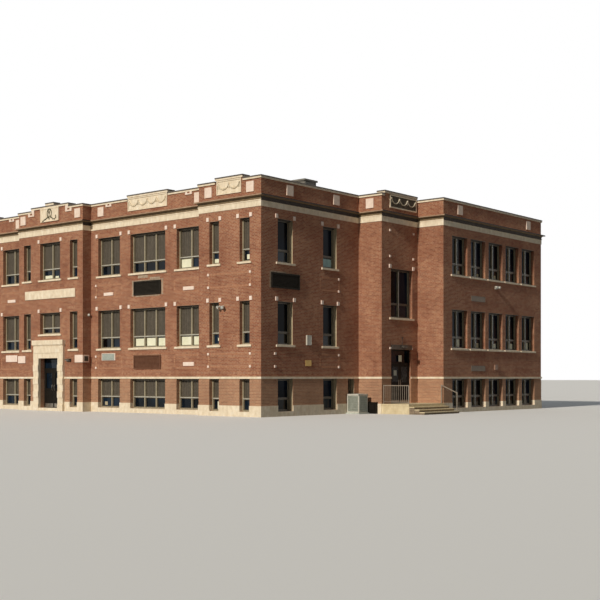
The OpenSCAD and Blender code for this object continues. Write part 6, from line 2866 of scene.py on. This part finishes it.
@dataclass
class HatchCladding(SubAssembly):
    """Seams, louvres, skirt and lid edge of the roof hatch."""

    slot: str = "dark_metal"
    low: tuple[float, float] = (13.90, 4.2056)
    width: float = 0.90
    height: float = 1.38
    lap: float = 0.05

    def side(self) -> Piece:
        """Clad one side of the hatch.

        Returns:
            The cladding in hatch coordinates, on the side that looks along Y.
        """
        half, base = self.width / 2, PLAN.roof_z
        top = base + self.height
        seam = Bench.rib((-half, -half - 0.022, base + 0.1), (-half + 0.02, -half, base + 0.92),
                         0.6)
        parts = [Bench.row(seam, 4, ((self.width - 0.02) / 3, 0, 0))]
        skirt = Bench.block((-half - 0.05, -half - 0.05, base), (half + 0.05, -half, base + 0.11))
        parts.append(Bench.slide(
            skirt, lambda place: place.z > base + 0.1 and place.y < -half - 0.04, (0, 0.044, 0)))
        parts.append(Bench.ring((-half + 0.03, -half - 0.02, base + 0.94),
                                (half - 0.03, -half, top - 0.04), 0.03, EASED))
        blade = Bench.block((-half + 0.05, -half - 0.004, base + 0.975),
                            (half - 0.05, -half + 0.002, base + 1.01), CRISP)
        Bench.turn(blade, -28, "X", (0, -half, base + 0.975))
        parts.append(Bench.row(blade, 7, (0, 0, 0.05)))
        edge = half + self.lap
        parts.append(Bench.block((-edge - 0.012, -edge - 0.012, top - 0.02),
                                 (edge + 0.012, -edge, top + 0.066), EASED))
        return Bench.join(parts, "hatch_side")

    def build(self) -> None:
        """Clad the four sides."""
        middle = (self.low[0] + self.width / 2, self.low[1] + self.width / 2, 0)
        self.keep(Bench.box_round(self.side(), middle), "roof_hatch_cladding",
                  "weathered_zinc_sheet")


@dataclass
class CapSeams(SubAssembly):
    """Folded seams across the metal cap of the plain parapets."""

    slot: str = "cap_metal"
    pitch: float = 2.4
    width: float = 0.034
    lap: float = 0.062
    coping_t: float = 0.08
    cap_t: float = 0.06
    margin: float = 1.0

    def seam(self) -> Piece:
        """Fold one seam over the cap.

        Returns:
            The seam in wall coordinates.
        """
        half, lap, back_lap = self.width / 2, -self.lap, PLAN.wall_t + self.lap
        top = PLAN.parapet_z + self.coping_t + self.cap_t
        foot = top - self.cap_t
        over = Bench.block((-half, lap - 0.004, top), (half, back_lap + 0.004, top + 0.005), FOLD)
        front = Bench.block((-half, lap - 0.005, foot), (half, lap, top + 0.004), FOLD)
        back = Bench.block((-half, back_lap, foot), (half, back_lap + 0.005, top + 0.004), FOLD)
        return Bench.join([over, front, back], "seam")

    def build(self) -> None:
        """Lay the seams on the sides and the back."""
        pattern = self.seam()
        copies = []
        for run in (Run.SIDE, Run.REAR_SIDE, Run.BACK):
            clear = PLAN.length(run) - 2 * self.margin
            count = max(2, round(clear / self.pitch))
            spots = [(self.margin + clear * (k + 0.5) / count, 0) for k in range(count)]
            copies += self.spread(pattern, run, spots)
        self.keep(copies, "cap_seams", "coated_cap_sheet")
        Bench.drop([pattern])


@dataclass
class RoofDrains(SubAssembly):
    """Strainers over the drains that keep the walled roof dry."""

    slot: str = "dark_metal"
    spots: tuple[tuple[float, float], ...] = ((6.0, 4.5), (-6.0, 4.5), (10.0, 14.5), (-10.0, 14.5))
    radius: float = 0.15

    def strainer(self) -> Piece:
        """Cast a flange with a ribbed dome.

        Returns:
            The strainer at the origin.
        """
        Bench.clear()
        bpy.ops.mesh.primitive_torus_add(major_radius=self.radius, minor_radius=0.018,
                                         major_segments=24, minor_segments=6)
        parts = [Bench.settle(bpy.context.object)]
        for k in range(10):
            angle = k * math.pi / 10
            points = []
            for step in range(7):
                rise = step * math.pi / 6
                reach = self.radius * 0.85 * math.cos(rise)
                points.append((reach * math.cos(angle), reach * math.sin(angle),
                               0.02 + 0.1 * math.sin(rise)))
            parts.append(Bench.tube(points, 0.006, fine=0))
        parts.append(Bench.rod((0, 0, 0), (0, 0, 0.012), self.radius * 0.95, 24, EASED))
        return Bench.join(parts, "strainer")

    def build(self) -> None:
        """Set a strainer at each drain."""
        pattern = self.strainer()
        copies = [Bench.copy(pattern, Matrix.Translation((*spot, PLAN.roof_z)))
                  for spot in self.spots]
        self.keep(copies, "roof_drains", "black_brown_enamel")
        Bench.drop([pattern])


ASSEMBLIES: tuple[type[SubAssembly], ...] = (
    WindowWork, BandedCourses, FriezeBed, SpandrelBorders, PaneBackings, LouvreSurrounds,
    WallPlates, PanelCarving, CrestCarving, WallLamps, SideDoors, EntranceDoors, LandingWork,
    CondenserCase, CabinetFront, HatchCladding, CapSeams, RoofDrains,
)


def main() -> None:
    """Build the scene in order and log each piece."""
    logging.basicConfig(level=logging.INFO, format="%(name)s: %(message)s")
    random.seed(7)
    Bench.clear()
    palette = Palette()
    Shell(palette).dress()
    stage = Stage()
    stage.camera()
    stage.floor(palette)
    stage.light()
    for kind in ASSEMBLIES:
        kind(palette).build()


if __name__ == "__main__":
    main()
